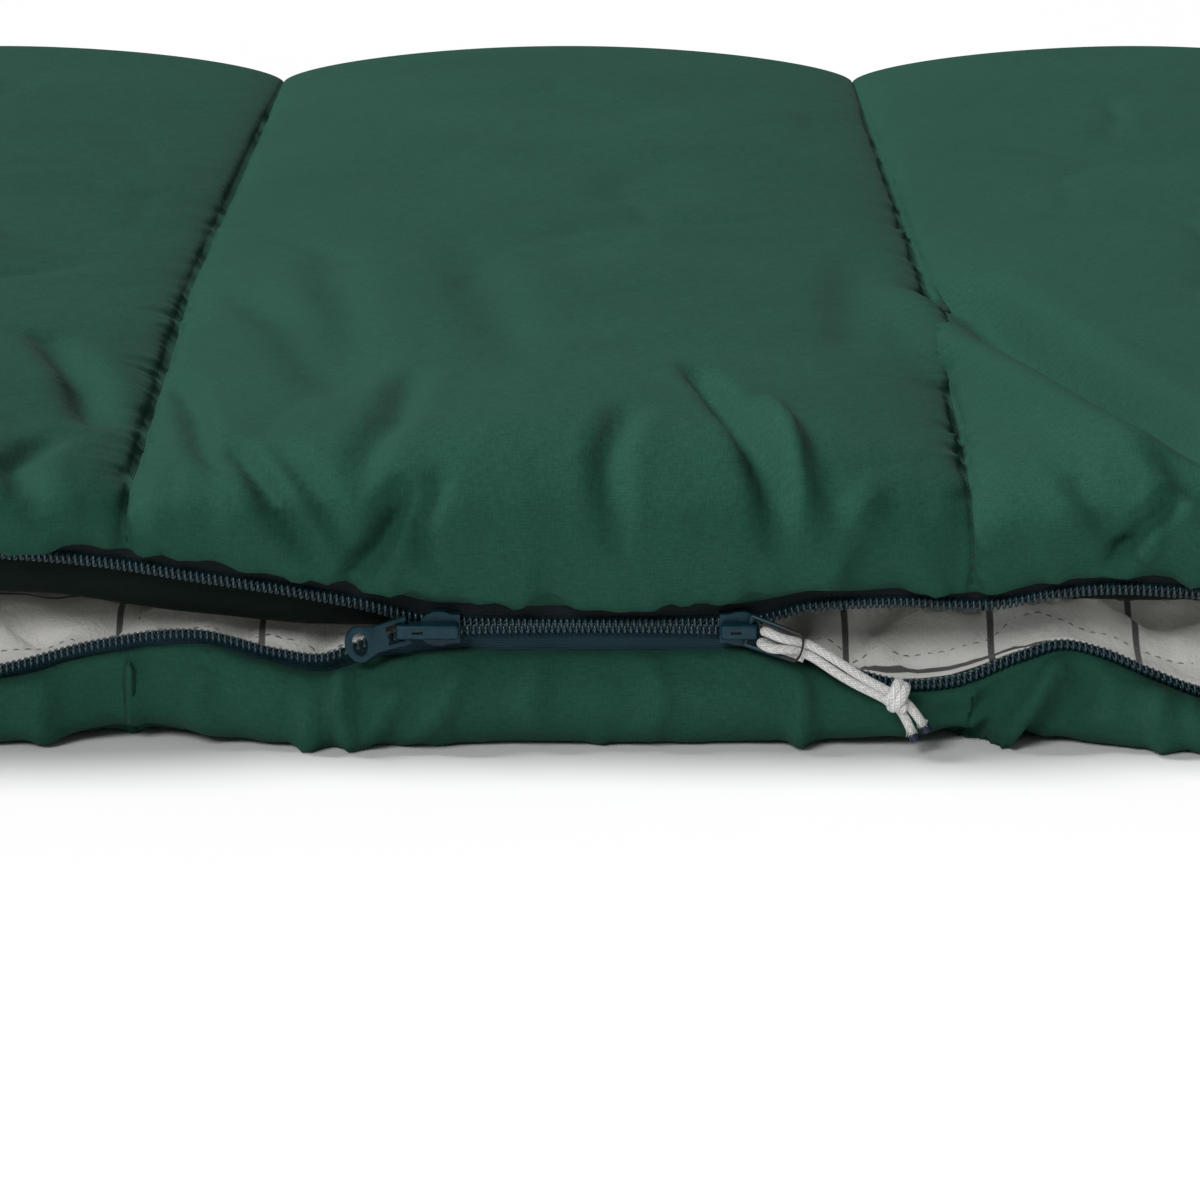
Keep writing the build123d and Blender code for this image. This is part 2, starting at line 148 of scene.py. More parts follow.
# ---- Shader maths -------------------------------------------------------------------------------
class Wire:
    """A socket that can be used in Python expressions."""

    def __init__(self, paint, socket):
        self.paint = paint
        self.socket = socket

    def maths(self, operation, *others):
        return self.paint.node("ShaderNodeMath", {"operation": operation}, [self, *others])

    def __add__(self, other):
        return self.maths("ADD", other)

    def __sub__(self, other):
        return self.maths("SUBTRACT", other)

    def __rsub__(self, other):
        return self.paint.node("ShaderNodeMath", {"operation": "SUBTRACT"}, [other, self])

    def __mul__(self, other):
        return self.maths("MULTIPLY", other)

    def __truediv__(self, other):
        return self.maths("DIVIDE", other)

    def __rtruediv__(self, other):
        return self.paint.node("ShaderNodeMath", {"operation": "DIVIDE"}, [other, self])

    __radd__ = __add__
    __rmul__ = __mul__

    def sin(self):
        return self.maths("SINE")

    def abs(self):
        return self.maths("ABSOLUTE")

    def frac(self):
        return self.maths("FRACT")

    def max(self, other):
        return self.maths("MAXIMUM", other)

    def limit(self, low, high):
        """From 0 at low to 1 at high, held outside them."""
        settings = {"clamp": True}
        return self.paint.node("ShaderNodeMapRange", settings, [self, low, high, 0.0, 1.0])


class Paint:
    """A material under construction."""

    def __init__(self, name, **constants):
        self.material = bpy.data.materials.new("bag_" + name)
        self.material.use_nodes = True
        self.tree = self.material.node_tree
        self.shader = self.tree.nodes["Principled BSDF"]
        for socket, value in constants.items():
            self.shader.inputs[socket.replace("_", " ")].default_value = value

    def node(self, kind, settings=None, values=(), output=0):
        """A node with its settings, and the values or links of its first inputs."""
        made = self.tree.nodes.new(kind)
        for key, value in (settings or {}).items():
            setattr(made, key, value)
        pairs = values.items() if isinstance(values, dict) else enumerate(values)
        for key, value in pairs:
            if isinstance(value, Wire):
                self.tree.links.new(value.socket, made.inputs[key])
            elif value is not None:
                made.inputs[key].default_value = value
        return Wire(self, made.outputs[output])

    def uv(self):
        """The two components of the piece's own map."""
        where = self.node("ShaderNodeUVMap", {"uv_map": "UVMap"})
        return [self.node("ShaderNodeSeparateXYZ", None, [where], k) for k in range(2)]

    def place(self):
        """Object coordinates."""
        return self.node("ShaderNodeTexCoord", None, (), "Object")

    def grain(self, scale, detail=2.0, rough=0.5, where=None):
        """Noise between 0 and 1."""
        where = where or self.place()
        values = {"Vector": where, "Scale": scale, "Detail": detail, "Roughness": rough}
        return self.node("ShaderNodeTexNoise", {"noise_dimensions": "3D"}, values)

    def stretched(self, u, v):
        """The piece's map, scaled separately along its two directions."""
        where = self.node("ShaderNodeUVMap", {"uv_map": "UVMap"})
        return self.node("ShaderNodeMapping", None, {"Vector": where, "Scale": (u, v, 1)})

    def mix(self, share, first, second):
        """A colour between two colours."""
        made = self.tree.nodes.new("ShaderNodeMix")
        made.data_type = "RGBA"
        for socket, value in zip([made.inputs[0], made.inputs[6], made.inputs[7]], (share, first, second)):
            if isinstance(value, Wire):
                self.tree.links.new(value.socket, socket)
            else:
                socket.default_value = value if isinstance(value, float) else (*value, 1.0)
        return Wire(self, made.outputs[2])

    def drive(self, socket, value):
        self.tree.links.new(value.socket, self.shader.inputs[socket])

    def bump(self, height, distance, strength=1.0):
        """Relief from a height in units of distance."""
        values = {"Strength": strength, "Distance": distance, "Height": height}
        self.drive("Normal", self.node("ShaderNodeBump", None, values))


def shade(colour, factor):
    """A colour made lighter or darker."""
    return tuple(min(c * factor, 1.0) for c in colour)


# ---- Finishes -----------------------------------------------------------------------------------
def shell_fabric(name, colour):
    """Satin-faced polycotton: a fine plain weave with slubs along the weft."""
    p = Paint(name, Specular_IOR_Level=0.06, Sheen_Weight=0.02, Sheen_Roughness=0.5)
    cloud = p.grain(9.0, 3.0)
    slub = p.grain(1.0, 3.0, 0.6, p.stretched(260, 1900))
    warp = p.grain(1.0, 2.0, 0.5, p.stretched(1900, 420))
    weave = slub * 0.6 + warp * 0.4
    tone = p.mix(cloud.limit(0.3, 0.75), shade(colour, 1.0), shade(colour, 1.22))
    p.drive("Base Color", p.mix(weave.limit(0.32, 0.68), shade(colour, 0.70), tone))
    p.drive("Roughness", 0.72 + 0.14 * weave)
    crumple = p.grain(85.0, 4.0, 0.55)
    p.bump(weave + crumple * 9.0, 0.16 * MM, 0.8)
    return p.material


def lining_fabric(colour, line_colour, pitch):
    """Brushed cotton with a woven window check and a soft, napped face."""
    p = Paint("lining_fabric", Specular_IOR_Level=0.25, Sheen_Weight=0.2, Sheen_Roughness=0.6)
    u, v = p.uv()
    nap = p.grain(1.0, 3.0, 0.6, p.stretched(1500, 1500))
    wobble = (p.grain(60.0) - 0.5) * 0.6 * MM
    half_line = 1.0 * MM / pitch
    lines = None
    for along, start in ((u, 1 * MM), (v, 7.0 * MM)):
        share = (((along + wobble - start) / pitch + 100.5).frac() - 0.5).abs()
        line = 1 - share.limit(half_line * 0.85, half_line * 1.15)
        lines = line if lines is None else lines.max(line)
    stain = p.grain(14.0, 3.0)
    cloth = p.mix(stain.limit(0.3, 0.7), shade(colour, 0.93), shade(colour, 1.04))
    cloth = p.mix(nap.limit(0.3, 0.7), p.mix(0.12, cloth, (0.2, 0.2, 0.2)), cloth)
    p.drive("Base Color", p.mix(lines * (0.80 + 0.20 * nap), cloth, line_colour))
    p.drive("Roughness", 0.8 + 0.1 * nap)
    crumple = p.grain(110.0, 4.0, 0.6)
    p.bump(nap + crumple * 11.0, 0.2 * MM, 0.8)
    return p.material


def tape_fabric(name, colour):
    """Herringbone zip tape: ribs along its length."""
    p = Paint(name, Specular_IOR_Level=0.3)
    u, v = p.uv()
    rib = ((v * (2 * math.pi / (0.75 * MM))).sin() + 1) * 0.5
    weft = ((u * (2 * math.pi / (0.55 * MM))).sin() + 1) * 0.5
    grain = p.grain(900.0)
    relief = rib * 0.6 + weft * 0.25 + grain * 0.15
    p.drive("Base Color", p.mix(relief.limit(0.2, 0.9), shade(colour, 0.6), shade(colour, 1.5)))
    p.drive("Roughness", 0.7 + 0.15 * grain)
    p.bump(relief, 0.15 * MM, 0.8)
    return p.material


def coil_nylon(colour):
    """Dyed nylon wire with a painted highlight: the inner head of each turn is coloured pale grey. The map's
    length counts turns of the coil.
    """
    p = Paint("zip_coil", Specular_IOR_Level=0.5, Coat_Weight=0.4, Coat_Roughness=0.12)
    grain = p.grain(700.0)
    turns = p.uv()[0]
    # Painted highlight: a pale grey band on the head of each turn stands in for the glint of light there.
    head = (0.5 - (turns.frac() - 0.5).abs()).limit(0.41, 0.46)
    wire = p.mix(grain.limit(0.3, 0.7), shade(colour, 0.8), shade(colour, 1.6))
    p.drive("Base Color", p.mix(head, wire, (0.24, 0.29, 0.30)))
    p.drive("Roughness", 0.22 + 0.18 * grain)
    p.bump(grain, 0.03 * MM, 0.5)
    return p.material


def slider_paint(colour):
    """Enamelled die-cast metal, slightly uneven, with dust-fine speckle."""
    p = Paint("slider_metal", Specular_IOR_Level=0.22, Coat_Weight=0.12, Coat_Roughness=0.25)
    flow = p.grain(420.0, 3.0)
    speck = p.grain(2600.0, 1.0)
    body = p.mix(flow.limit(0.3, 0.75), shade(colour, 0.75), shade(colour, 1.35))
    p.drive("Base Color", p.mix(speck.limit(0.66, 0.74) * 0.5, body, shade(colour, 3.0)))
    p.drive("Roughness", 0.36 + 0.2 * flow)
    p.bump(flow, 0.06 * MM, 0.35)
    return p.material


def loop_paint(colour, end):
    """The head pull's enamel, which turns dark brown towards its end bar."""
    p = Paint("loop_paint", Metallic=0.1, Specular_IOR_Level=0.3, Coat_Weight=0.12, Coat_Roughness=0.25)
    flow = p.grain(420.0, 3.0)
    x = p.node("ShaderNodeSeparateXYZ", None, [p.place()], 0)
    # The loop is coloured dark brown from about 9 mm to 5 mm short of its end, over an uneven border.
    dark_ended = (x + (flow - 0.5) * 1.5 * MM).limit(end - 9.0 * MM, end - 5.0 * MM)
    body = p.mix(flow.limit(0.3, 0.75), shade(colour, 0.75), shade(colour, 1.35))
    p.drive("Base Color", p.mix(dark_ended, body, (0.026, 0.021, 0.018)))
    p.drive("Roughness", 0.30 + 0.2 * flow + dark_ended * 0.15)
    p.bump(flow, 0.06 * MM, 0.35)
    return p.material


def braided_cord(colour):
    """A round braid: two crossing sets of strands, from the map's length and turn."""
    p = Paint("cord", Specular_IOR_Level=0.3, Sheen_Weight=0.3, Sheen_Roughness=0.5)
    u, v = p.uv()
    along = u * (2 * math.pi / (1.25 * MM))
    around = v * (2 * math.pi * 5)
    left = ((along + around).sin() + 1) * 0.5
    right = ((along - around).sin() + 1) * 0.5
    over = ((u * (2 * math.pi / (2.5 * MM)) + v * math.pi * 5).sin()).limit(-0.35, 0.35)
    strands = left * over + right * (1 - over)
    fuzz = p.grain(1400.0)
    relief = strands * 0.85 + fuzz * 0.15
    p.drive("Base Color", p.mix(relief.limit(0.1, 0.75), shade(colour, 0.62), colour))
    p.drive("Roughness", 0.66 + 0.12 * fuzz)
    p.bump(relief, 0.28 * MM, 0.9)
    return p.material


def spun_thread(name, colour):
    """Sewing thread: tight, slightly shiny plies."""
    p = Paint(name, Specular_IOR_Level=0.4)
    ply = p.grain(1800.0, 2.0)
    p.drive("Base Color", p.mix(ply.limit(0.35, 0.65), shade(colour, 0.6), shade(colour, 1.3)))
    p.drive("Roughness", 0.45 + 0.2 * ply)
    p.bump(ply, 0.05 * MM, 0.6)
    return p.material


def moulded(name, colour, rough):
    """Smooth plastic or steel with a faint mould grain."""
    p = Paint(name, Specular_IOR_Level=0.5)
    grain = p.grain(800.0)
    p.drive("Base Color", p.mix(grain.limit(0.3, 0.7), shade(colour, 0.85), shade(colour, 1.2)))
    p.drive("Roughness", rough + 0.12 * grain)
    p.bump(grain, 0.03 * MM, 0.4)
    return p.material


def pale_floor():
    """Seamless pale studio floor."""
    p = Paint("studio_floor", Roughness=0.9, Specular_IOR_Level=0.1)
    cloud = p.grain(1.2)
    p.drive("Base Color", p.mix(cloud, (0.93, 0.93, 0.93), (0.95, 0.95, 0.95)))
    return p.material


# ---- Curves and noise ---------------------------------------------------------------------------
def smooth_line(points):
    """A function through (place, value) points, smooth between them."""
    places, values = np.array(points, float).T
    slopes = np.gradient(values, places)

    def at(x):
        x = np.clip(x, places[0], places[-1])
        k = np.clip(np.searchsorted(places, x) - 1, 0, len(places) - 2)
        span = places[k + 1] - places[k]
        t = (x - places[k]) / span
        near = (2 * t**3 - 3 * t**2 + 1) * values[k] + (t**3 - 2 * t**2 + t) * span * slopes[k]
        return near + (3 * t**2 - 2 * t**3) * values[k + 1] + (t**3 - t**2) * span * slopes[k + 1]

    return at


def soft_noise(x, y, size, seed):
    """Smooth noise between -1 and 1 over two coordinates, one lump about size across."""
    table = np.random.default_rng(seed).uniform(-1, 1, (64, 64))
    fx, fy = x / size + 1000, y / size + 1000
    i, j = np.floor(fx).astype(int), np.floor(fy).astype(int)
    tx, ty = fx - i, fy - j
    tx, ty = tx**3 * (tx * (6 * tx - 15) + 10), ty**3 * (ty * (6 * ty - 15) + 10)

    def corner(a, b):
        """The table's value at one corner of each point's cell."""
        return table[(i + a) % 64, (j + b) % 64]

    low = corner(0, 0) * (1 - tx) + corner(1, 0) * tx
    high = corner(0, 1) * (1 - tx) + corner(1, 1) * tx
    return low * (1 - ty) + high * ty


def graded(start, end, fine, coarse, fine_from, fine_to):
    """Steps from start to end: fine between two places and growing to coarse outside them."""
    places = [fine_from]
    while places[-1] < end:
        past = max(places[-1] - fine_to, 0)
        places.append(places[-1] + min(fine + 0.16 * past, coarse))
    back = [fine_from]
    while back[-1] > start:
        past = max(fine_from - back[-1], 0)
        back.append(back[-1] - min(fine + 0.16 * past, coarse))
    places = np.array(back[:0:-1] + places)
    keep = places[(places > start + fine / 2) & (places < end - fine / 2)]
    return np.concatenate([[start], keep, [end]])


def with_places(grid, extra):
    """The grid with its nearest line moved to each of the extra places."""
    grid = grid.copy()
    for place in extra:
        grid[np.argmin(abs(grid - place))] = place
    return grid


# ---- Zip route ----------------------------------------------------------------------------------
# Heights of the coils' middles where the zip hangs open beside the closed stretch, and where it
# is away from it. Each list runs from the foot to the head.
UPPER_COIL = [
    (FOOT_X, 38.6), (-0.60, 38.9), (-0.45, 40.5), (-0.33, 47), (-0.24, 56), (-0.164, 58), (-0.134, 55.6),
    (-0.104, 51), (-0.074, 46.4), (-0.052, 42.0), (-0.040, 38.8), (-0.0345, 38.0), (-0.0265, 37.75),
    (0.0505, 37.75), (0.0585, 38.0), (0.066, 39.6), (0.076, 42.4), (0.090, 43.6), (0.104, 44.0),
    (0.134, 43.4), (0.149, 46.2), (0.164, 47.8), (0.193, 46.6), (0.24, 44.0), (0.33, 41.0), (0.45, 39.2),
    (HEAD_X, 38.6),
]  # fmt: skip
LOWER_COIL = [
    (FOOT_X, 33.4), (-0.42, 32.8), (-0.30, 28.5), (-0.22, 22.5), (-0.164, 23.3), (-0.134, 30.3),
    (-0.104, 33.0), (-0.080, 27.6), (-0.068, 26.2), (-0.053, 31.2), (-0.042, 33.2), (-0.0345, 34.0),
    (-0.0265, 34.25), (0.0505, 34.25), (0.0585, 34.0), (0.066, 32.2), (0.076, 28.4), (0.089, 22.7),
    (0.104, 18.9), (0.122, 20.2), (0.140, 27.3), (0.152, 30.6), (0.164, 28.6), (0.179, 22.7),
    (0.193, 17.5), (0.215, 16.0), (0.26, 24.0), (0.34, 30.5), (0.48, 32.6), (HEAD_X, 33.4),
]  # fmt: skip
upper_coil_height = smooth_line(UPPER_COIL)
lower_coil_height = smooth_line(LOWER_COIL)


def beside_sliders(x):
    """Whether a place along the zip is on the stretch that is modelled most finely."""
    return FINE_FROM - 10 * MM < x < FINE_TO + 10 * MM


def closed_share(x):
    """1 on the closed stretch of the chain, falling to 0 past the sliders."""
    past = np.maximum(np.maximum(FOOT_TAIL - x, x - HEAD_TAIL), 0)
    return 1 - np.clip(past / (22 * MM), 0, 1)


def coil_height(x, up):
    """Height of a coil's middle; up is 1 for the upper coil and -1 for the lower."""
    wave = 0.5 * soft_noise(x, x * 0, 90 * MM, 3 + up) * (1 - closed_share(x))
    return ((upper_coil_height(x) if up > 0 else lower_coil_height(x)) + wave) * MM


def coil_lean(x, up):
    """How far a coil swings out where it hangs below its closed height, or in where it is lifted."""
    if up > 0:
        return -0.10 * (coil_height(x, up) - 37.75 * MM)
    return 0.30 * (34.25 * MM - coil_height(x, up))


# How far each quilt's sewn edge stays back from the middle of its coil.
UPPER_EDGE = [
    (FOOT_X, 3.8), (-0.3, 3.6), (-0.16, 3.5), (-0.12, 4.6), (-0.09, 5.9), (-0.05, 5.7), (-0.02, 5.0),
    (0.05, 5.0), (0.09, 3.8), (0.15, 3.4), (0.4, 3.8), (HEAD_X, 3.8),
]  # fmt: skip
LOWER_EDGE = [
    (FOOT_X, 3.3), (-0.3, 3.2), (-0.12, 3.1), (-0.09, 3.4), (-0.06, 4.9), (-0.02, 5.8), (0.05, 5.8),
    (0.065, 4.4), (0.09, 3.1), (0.3, 3.0), (HEAD_X, 3.3),
]  # fmt: skip
upper_edge_gap = smooth_line(UPPER_EDGE)
lower_edge_gap = smooth_line(LOWER_EDGE)


def lip_height(x, up):
    """Height of a quilt's sewn edge, beside its coil, a little uneven where the cloth is gathered."""
    gap = upper_edge_gap(x) if up > 0 else lower_edge_gap(x)
    uneven = 0.45 * soft_noise(x, x * 0, 13 * MM, 61 + up) + 0.25 * soft_noise(x, x * 0, 6 * MM, 63 + up)
    return coil_height(x, up) + up * (gap + uneven) * MM


def zip_route(step_of):
    """Places along the zip from the far side of the foot to the head: distance, x, y, outward normal."""
    foot = CORNER_Y - ZIP_FAR_Y
    arc = ZIP_RADIUS * math.pi / 2
    side = ZIP_HEAD_X - CORNER_X
    total = -foot + arc + side
    q, stations = 0.0, []
    while q < total:
        stations.append(q)
        q += step_of(q + foot - arc + CORNER_X)
    q = np.array(stations)
    turn = np.clip((q + foot) / ZIP_RADIUS, 0, math.pi / 2)
    x = CORNER_X - ZIP_RADIUS * np.cos(turn) + np.maximum(q + foot - arc, 0)
    y = CORNER_Y - ZIP_RADIUS * np.sin(turn) - np.minimum(q + foot, 0)
    return q, x, y, -np.cos(turn), -np.sin(turn)


# ---- Mesh helpers -------------------------------------------------------------------------------
def mesh_piece(name, points, faces, material, uv=None):
    """A mesh object at the origin, from points in the frame, with its map per point."""
    mesh = bpy.data.meshes.new(name)
    mesh.from_pydata([tuple(p) for p in points], [], faces)
    mesh.update()
    if uv is not None:
        layer = mesh.uv_layers.new(name="UVMap")
        corner = np.empty(len(mesh.loops), np.int32)
        mesh.loops.foreach_get("vertex_index", corner)
        layer.data.foreach_set("uv", np.asarray(uv, np.float32)[corner].ravel())
    mesh.polygons.foreach_set("use_smooth", np.full(len(mesh.polygons), True))
    piece = bpy.data.objects.new(name, mesh)
    bpy.context.scene.collection.objects.link(piece)
    mesh.materials.append(material)
    return piece


def grid_faces(rows, columns, closed=False):
    """Quads of a grid of rows by columns points, closed round its columns if asked."""
    i, j = np.meshgrid(np.arange(rows - 1), np.arange(columns if closed else columns - 1), indexing="ij")
    k = (j + 1) % columns
    quads = np.stack([i * columns + j, (i + 1) * columns + j, (i + 1) * columns + k, i * columns + k], -1)
    return quads.reshape(-1, 4).tolist()


def swept_piece(name, points, uv, material):
    """A closed mesh from rings of points along a piece, with a face over each end."""
    rows, columns = points.shape[:2]
    faces = grid_faces(rows, columns, closed=True)
    faces += [list(range(columns)), [(rows - 1) * columns + k for k in range(columns)]]
    piece = mesh_piece(name, points.reshape(-1, 3), faces, material, uv.reshape(-1, 2))
    outward(piece)
    return piece


def only(piece):
    """Selects one object and makes it active."""
    for other in bpy.context.selected_objects:
        other.select_set(False)
    piece.select_set(True)
    bpy.context.view_layer.objects.active = piece


def outward(piece):
    """Turns a closed mesh's faces outwards."""
    only(piece)
    bpy.ops.object.mode_set(mode="EDIT")
    bpy.ops.mesh.select_all(action="SELECT")
    bpy.ops.mesh.normals_make_consistent(inside=False)
    bpy.ops.object.mode_set(mode="OBJECT")


def apply_modifier(piece, kind, **settings):
    """Adds a modifier with its settings and applies it."""
    only(piece)
    modifier = piece.modifiers.new(kind.lower(), kind)
    for key, value in settings.items():
        setattr(modifier, key, value)
    bpy.ops.object.modifier_apply(modifier=modifier.name)


def grid_normals(points):
    """Unit normals of a grid of points, from its two directions."""
    normal = np.cross(np.gradient(points, axis=0), np.gradient(points, axis=1))
    return normal / np.maximum(np.linalg.norm(normal, axis=2, keepdims=True), 1e-12)


# ---- Quilt shapes -------------------------------------------------------------------------------
# Soft folds: half width and depth in millimetres, then points (x, a), where a is the
# distance over the cloth from its sewn edge. A negative depth is a ridge.
TOP_FOLDS = [
    (6, 2.2, [(-122, 160), (-112, 112), (-105, 62), (-98, 40)]),
    (6, 3.4, [(-96, 62), (-87, 43), (-79, 27), (-66, 10)]),
    (7, 1.8, [(-82, 58), (-68, 36), (-58, 14)]),
    (5, 4.4, [(-41, 46), (-48, 29), (-60, 6)]),
    (8, 2.0, [(-44, 150), (-46, 92), (-56, 44)]),
    (14, 1.7, [(-112, 300), (-90, 232), (-68, 118)]),
    (14, 1.5, [(-84, 360), (-70, 240), (-62, 130)]),
    (16, 1.3, [(-34, 380), (-22, 260), (-10, 150)]),
    (5, 2.2, [(-32, 50), (-38, 32), (-34, 18)]),
    (7, 2.0, [(24, 92), (17, 54), (20, 26)]),
    (6, 4.0, [(44, 150), (55, 92), (65, 46), (67, 24)]),
    (5, -2.4, [(66, 108), (73, 52), (76, 26)]),
    (8, -2.0, [(94, 40), (86, 22), (78, 8)]),
    (16, 7.5, [(140, 330), (151, 262), (163, 180), (176, 116), (188, 76), (204, 50)]),
    (16, -3.6, [(122, 300), (134, 200), (150, 120), (164, 74), (176, 52)]),
    (8, 3.0, [(180, 54), (192, 40), (206, 30)]),
    (4.5, 3.0, [(165, 10), (172, 22), (184, 38)]),
    (6, 2.2, [(154, 44), (161, 30), (168, 16), (174, 6)]),
    (5, -1.6, [(178, 38), (176, 24), (175, 14)]),
    (13, 0.9, [(108, 370), (101, 280), (97, 190)]),
    (8, 2.2, [(-150, 66), (-158, 40), (-150, 16)]),
    (10, 3.0, [(-168, 210), (-150, 150), (-140, 90)]),
]
BOTTOM_FOLDS = [
    (4, 3.6, [(-61, 3), (-62, 14), (-59, 28)]),
    (5, 2.6, [(-70, 10), (-72, 24), (-68, 34)]),
    (6, 2.4, [(-44, 12), (-54, 26), (-66, 38)]),
    (5, 2.6, [(-24, 8), (-34, 22), (-46, 32)]),
    (7, 2.0, [(-2, 4), (-6, 18), (-4, 30)]),
    (6, 2.0, [(30, 4), (33, 18), (28, 30)]),
    (5, 3.6, [(74, 6), (75, 18), (73, 30)]),
    (5, 5.6, [(152, 5), (144, 14), (130, 27), (118, 36)]),
    (6, -2.6, [(160, 6), (158, 16), (150, 26)]),
    (6, 2.6, [(181, 4), (180, 18), (184, 30)]),
    (7, 2.4, [(-104, 8), (-106, 20), (-100, 32)]),
    (7, 2.4, [(-150, 4), (-152, 18), (-146, 30)]),
]
# Those of the lower lining, where a is the distance from the zip line.
LINING_FOLDS = [
    (5, 2.0, [(88, 10), (95, 24), (108, 38)]),
    (7, 2.4, [(112, 42), (128, 31), (152, 34)]),
    (4, 1.6, [(68, 14), (76, 30)]),
    (9, -2.6, [(118, 26), (146, 21), (172, 28)]),
    (8, 2.6, [(165, 42), (185, 34), (206, 40)]),
    (4, 1.6, [(-100, 12), (-92, 24), (-84, 38)]),
    (5, -1.8, [(-122, 30), (-104, 25), (-92, 30)]),
    (4, 1.5, [(-142, 14), (-128, 30)]),
    (5, 1.7, [(-166, 32), (-150, 20)]),
    (4, 1.4, [(-72, 14), (-64, 30)]),
]


def fold_relief(x, a, folds):
    """Relief of the listed folds over the cloth, in metres."""
    relief = np.zeros_like(x)
    for half_width, depth, route in folds:
        route = np.array(route, float) * MM
        lengths = np.linalg.norm(np.diff(route, axis=0), axis=1)
        total = lengths.sum()
        nearest = np.full(x.shape, np.inf)
        share = np.zeros_like(x)
        begun = 0.0
        for start, end, length in zip(route, route[1:], lengths):
            dx, da = (end - start) / length
            t = np.clip((x - start[0]) * dx + (a - start[1]) * da, 0, length)
            away = np.hypot(x - start[0] - t * dx, a - start[1] - t * da)
            closer = away < nearest
            nearest = np.where(closer, away, nearest)
            share = np.where(closer, (begun + t) / total, share)
            begun += length
        q = nearest / (0.85 * half_width * MM)
        taper = np.clip(4.5 * share * (1 - share), 0, 1) ** 0.6
        relief -= depth * MM * (0.25 + 0.75 * taper) * (1 - 0.55 * q**2) * np.exp(-(q**2))
    return relief


def channel_share(x):
    """0 on a quilting seam and 1 in the middle of a channel."""
    return np.abs(np.sin(np.pi * (x - FOOT_X) / CHANNEL))


def seam_puckers(x, a, height, deep=1.0):
    """The groove of each quilting seam, with gathers beside it unequal in size and length."""
    from_seam = np.abs((x - FOOT_X + CHANNEL / 2) % CHANNEL - CHANNEL / 2)
    seam = np.round((x - FOOT_X) / CHANNEL)
    side = np.sign((x - FOOT_X) - seam * CHANNEL)
    slant = a + 0.35 * from_seam * (1 + soft_noise(a, seam * 0.31 + side * 0.11, 40 * MM, 11))
    wave = soft_noise(slant, seam * 0.21 + side * 0.37, 5.2 * MM, 10)
    wave = wave + 0.6 * soft_noise(slant, seam * 0.33 + side * 0.17, 11 * MM, 14)
    reach = (7.5 + 4.5 * soft_noise(a, seam * 0.17 + side * 0.23, 18 * MM, 12)) * MM
    size = np.clip(0.55 + 0.9 * soft_noise(a, seam * 0.4 + side * 0.2, 26 * MM, 13), 0.1, 2)
    close = np.exp(-((from_seam / reach) ** 1.5)) * np.clip(from_seam / (1.6 * MM), 0.2, 1)
    sink = deep * (1.6 + 0.5 * soft_noise(a, seam * 0.7, 20 * MM, 15)) * MM
    groove = sink * np.exp(-((from_seam / (2.6 * MM)) ** 1.3))
    inner = np.abs(seam - CHANNELS / 2) < CHANNELS / 2 - 0.2
    return (height * size * wave * close - groove) * inner


def creases(x, a, size, seed):
    """Random soft creases: thin ridges that wander over the cloth."""
    bent = x + 0.5 * size * soft_noise(x, a, 1.3 * size, seed)
    ridge = 1 - np.abs(soft_noise(bent, a * 0.55, size, seed + 1))
    patch = np.clip(soft_noise(x, a, 2.2 * size, seed + 2) + 0.45, 0, 1)
    return (ridge**4 - 0.25) * patch


def drift(x, a):
    """How far the cloth's channels spread sideways away from the zip."""
    far = np.clip((a - 50 * MM) / (280 * MM), 0, 1)
    return 0.065 * x * far * np.clip((0.42 - np.abs(x)) / 0.2, 0, 1)


def end_round(x, radius):
    """Height share near the foot and head ends, where a quilt rounds down to its edge."""
    past = np.clip(np.minimum(x - ZIP_FOOT_X, HEAD_X - x) / radius, 0, 1)
    return np.sqrt(np.clip(1 - (1 - past) ** 2, 0, 1))


def zip_line_y(x):
    """Where the zip runs at a place x: along the side, then round the foot corner."""
    inside = np.clip(CORNER_X - x, 0, ZIP_RADIUS)
    return CORNER_Y - np.sqrt(ZIP_RADIUS**2 - inside**2) + (ZIP_Y - (CORNER_Y - ZIP_RADIUS))


def along_section(controls, spans):
    """Points on a smooth curve through control points, with a number of steps for each span."""
    before = np.concatenate([2 * controls[:, :1] - controls[:, 1:2], controls], 1)
    padded = np.concatenate([before, 2 * controls[:, -1:] - controls[:, -2:-1]], 1)
    rows = []
    for k, steps in enumerate(spans):
        p0, p1, p2, p3 = (padded[:, k + n][:, None] for n in range(4))
        chords = (p1 - p0, p2 - p1, p3 - p2)
        d0, d1, d2 = (np.linalg.norm(chord, axis=2, keepdims=True) ** 0.5 + 1e-9 for chord in chords)
        m1 = (p2 - p0) / (d0 + d1) * d1
        m2 = (p3 - p1) / (d1 + d2) * d1
        t = (np.arange(steps) / steps)[None, :, None]
        curve = (2 * t**3 - 3 * t**2 + 1) * p1 + (t**3 - 2 * t**2 + t) * m1
        rows.append(curve + (3 * t**2 - 2 * t**3) * p2 + (t**3 - t**2) * m2)
    rows.append(controls[:, -1:])
    return np.concatenate(rows, 1)


def long_grid(settings):
    """Grid lines along the bag, with one on every quilting seam."""
    grid = graded(ZIP_FOOT_X, HEAD_X, settings.fine_step, settings.coarse_step, FINE_FROM, FINE_TO)
    grid = with_places(grid, SEAMS)
    steps = [d * MM for d in (0.4, 1.5, 3.5, 6.5)]
    ends = [ZIP_FOOT_X + d for d in steps] + [HEAD_X - d for d in steps]
    beside = [seam + side * d * MM for seam in SEAMS for side in (-1, 1) for d in (0.7, 1.4, 2.3, 3.6)]
    grid = np.unique(np.concatenate([grid, ends, beside]))
    close = np.diff(grid) < 0.3 * MM
    return grid[np.concatenate([[True], ~close | np.isin(grid[1:], SEAMS)])]


def section_frame(x, controls):
    """Control points (outward distance, height) made into points (y, z)."""
    return np.stack([np.broadcast_to(np.asarray(value, float), x.shape) for value in controls], 1)


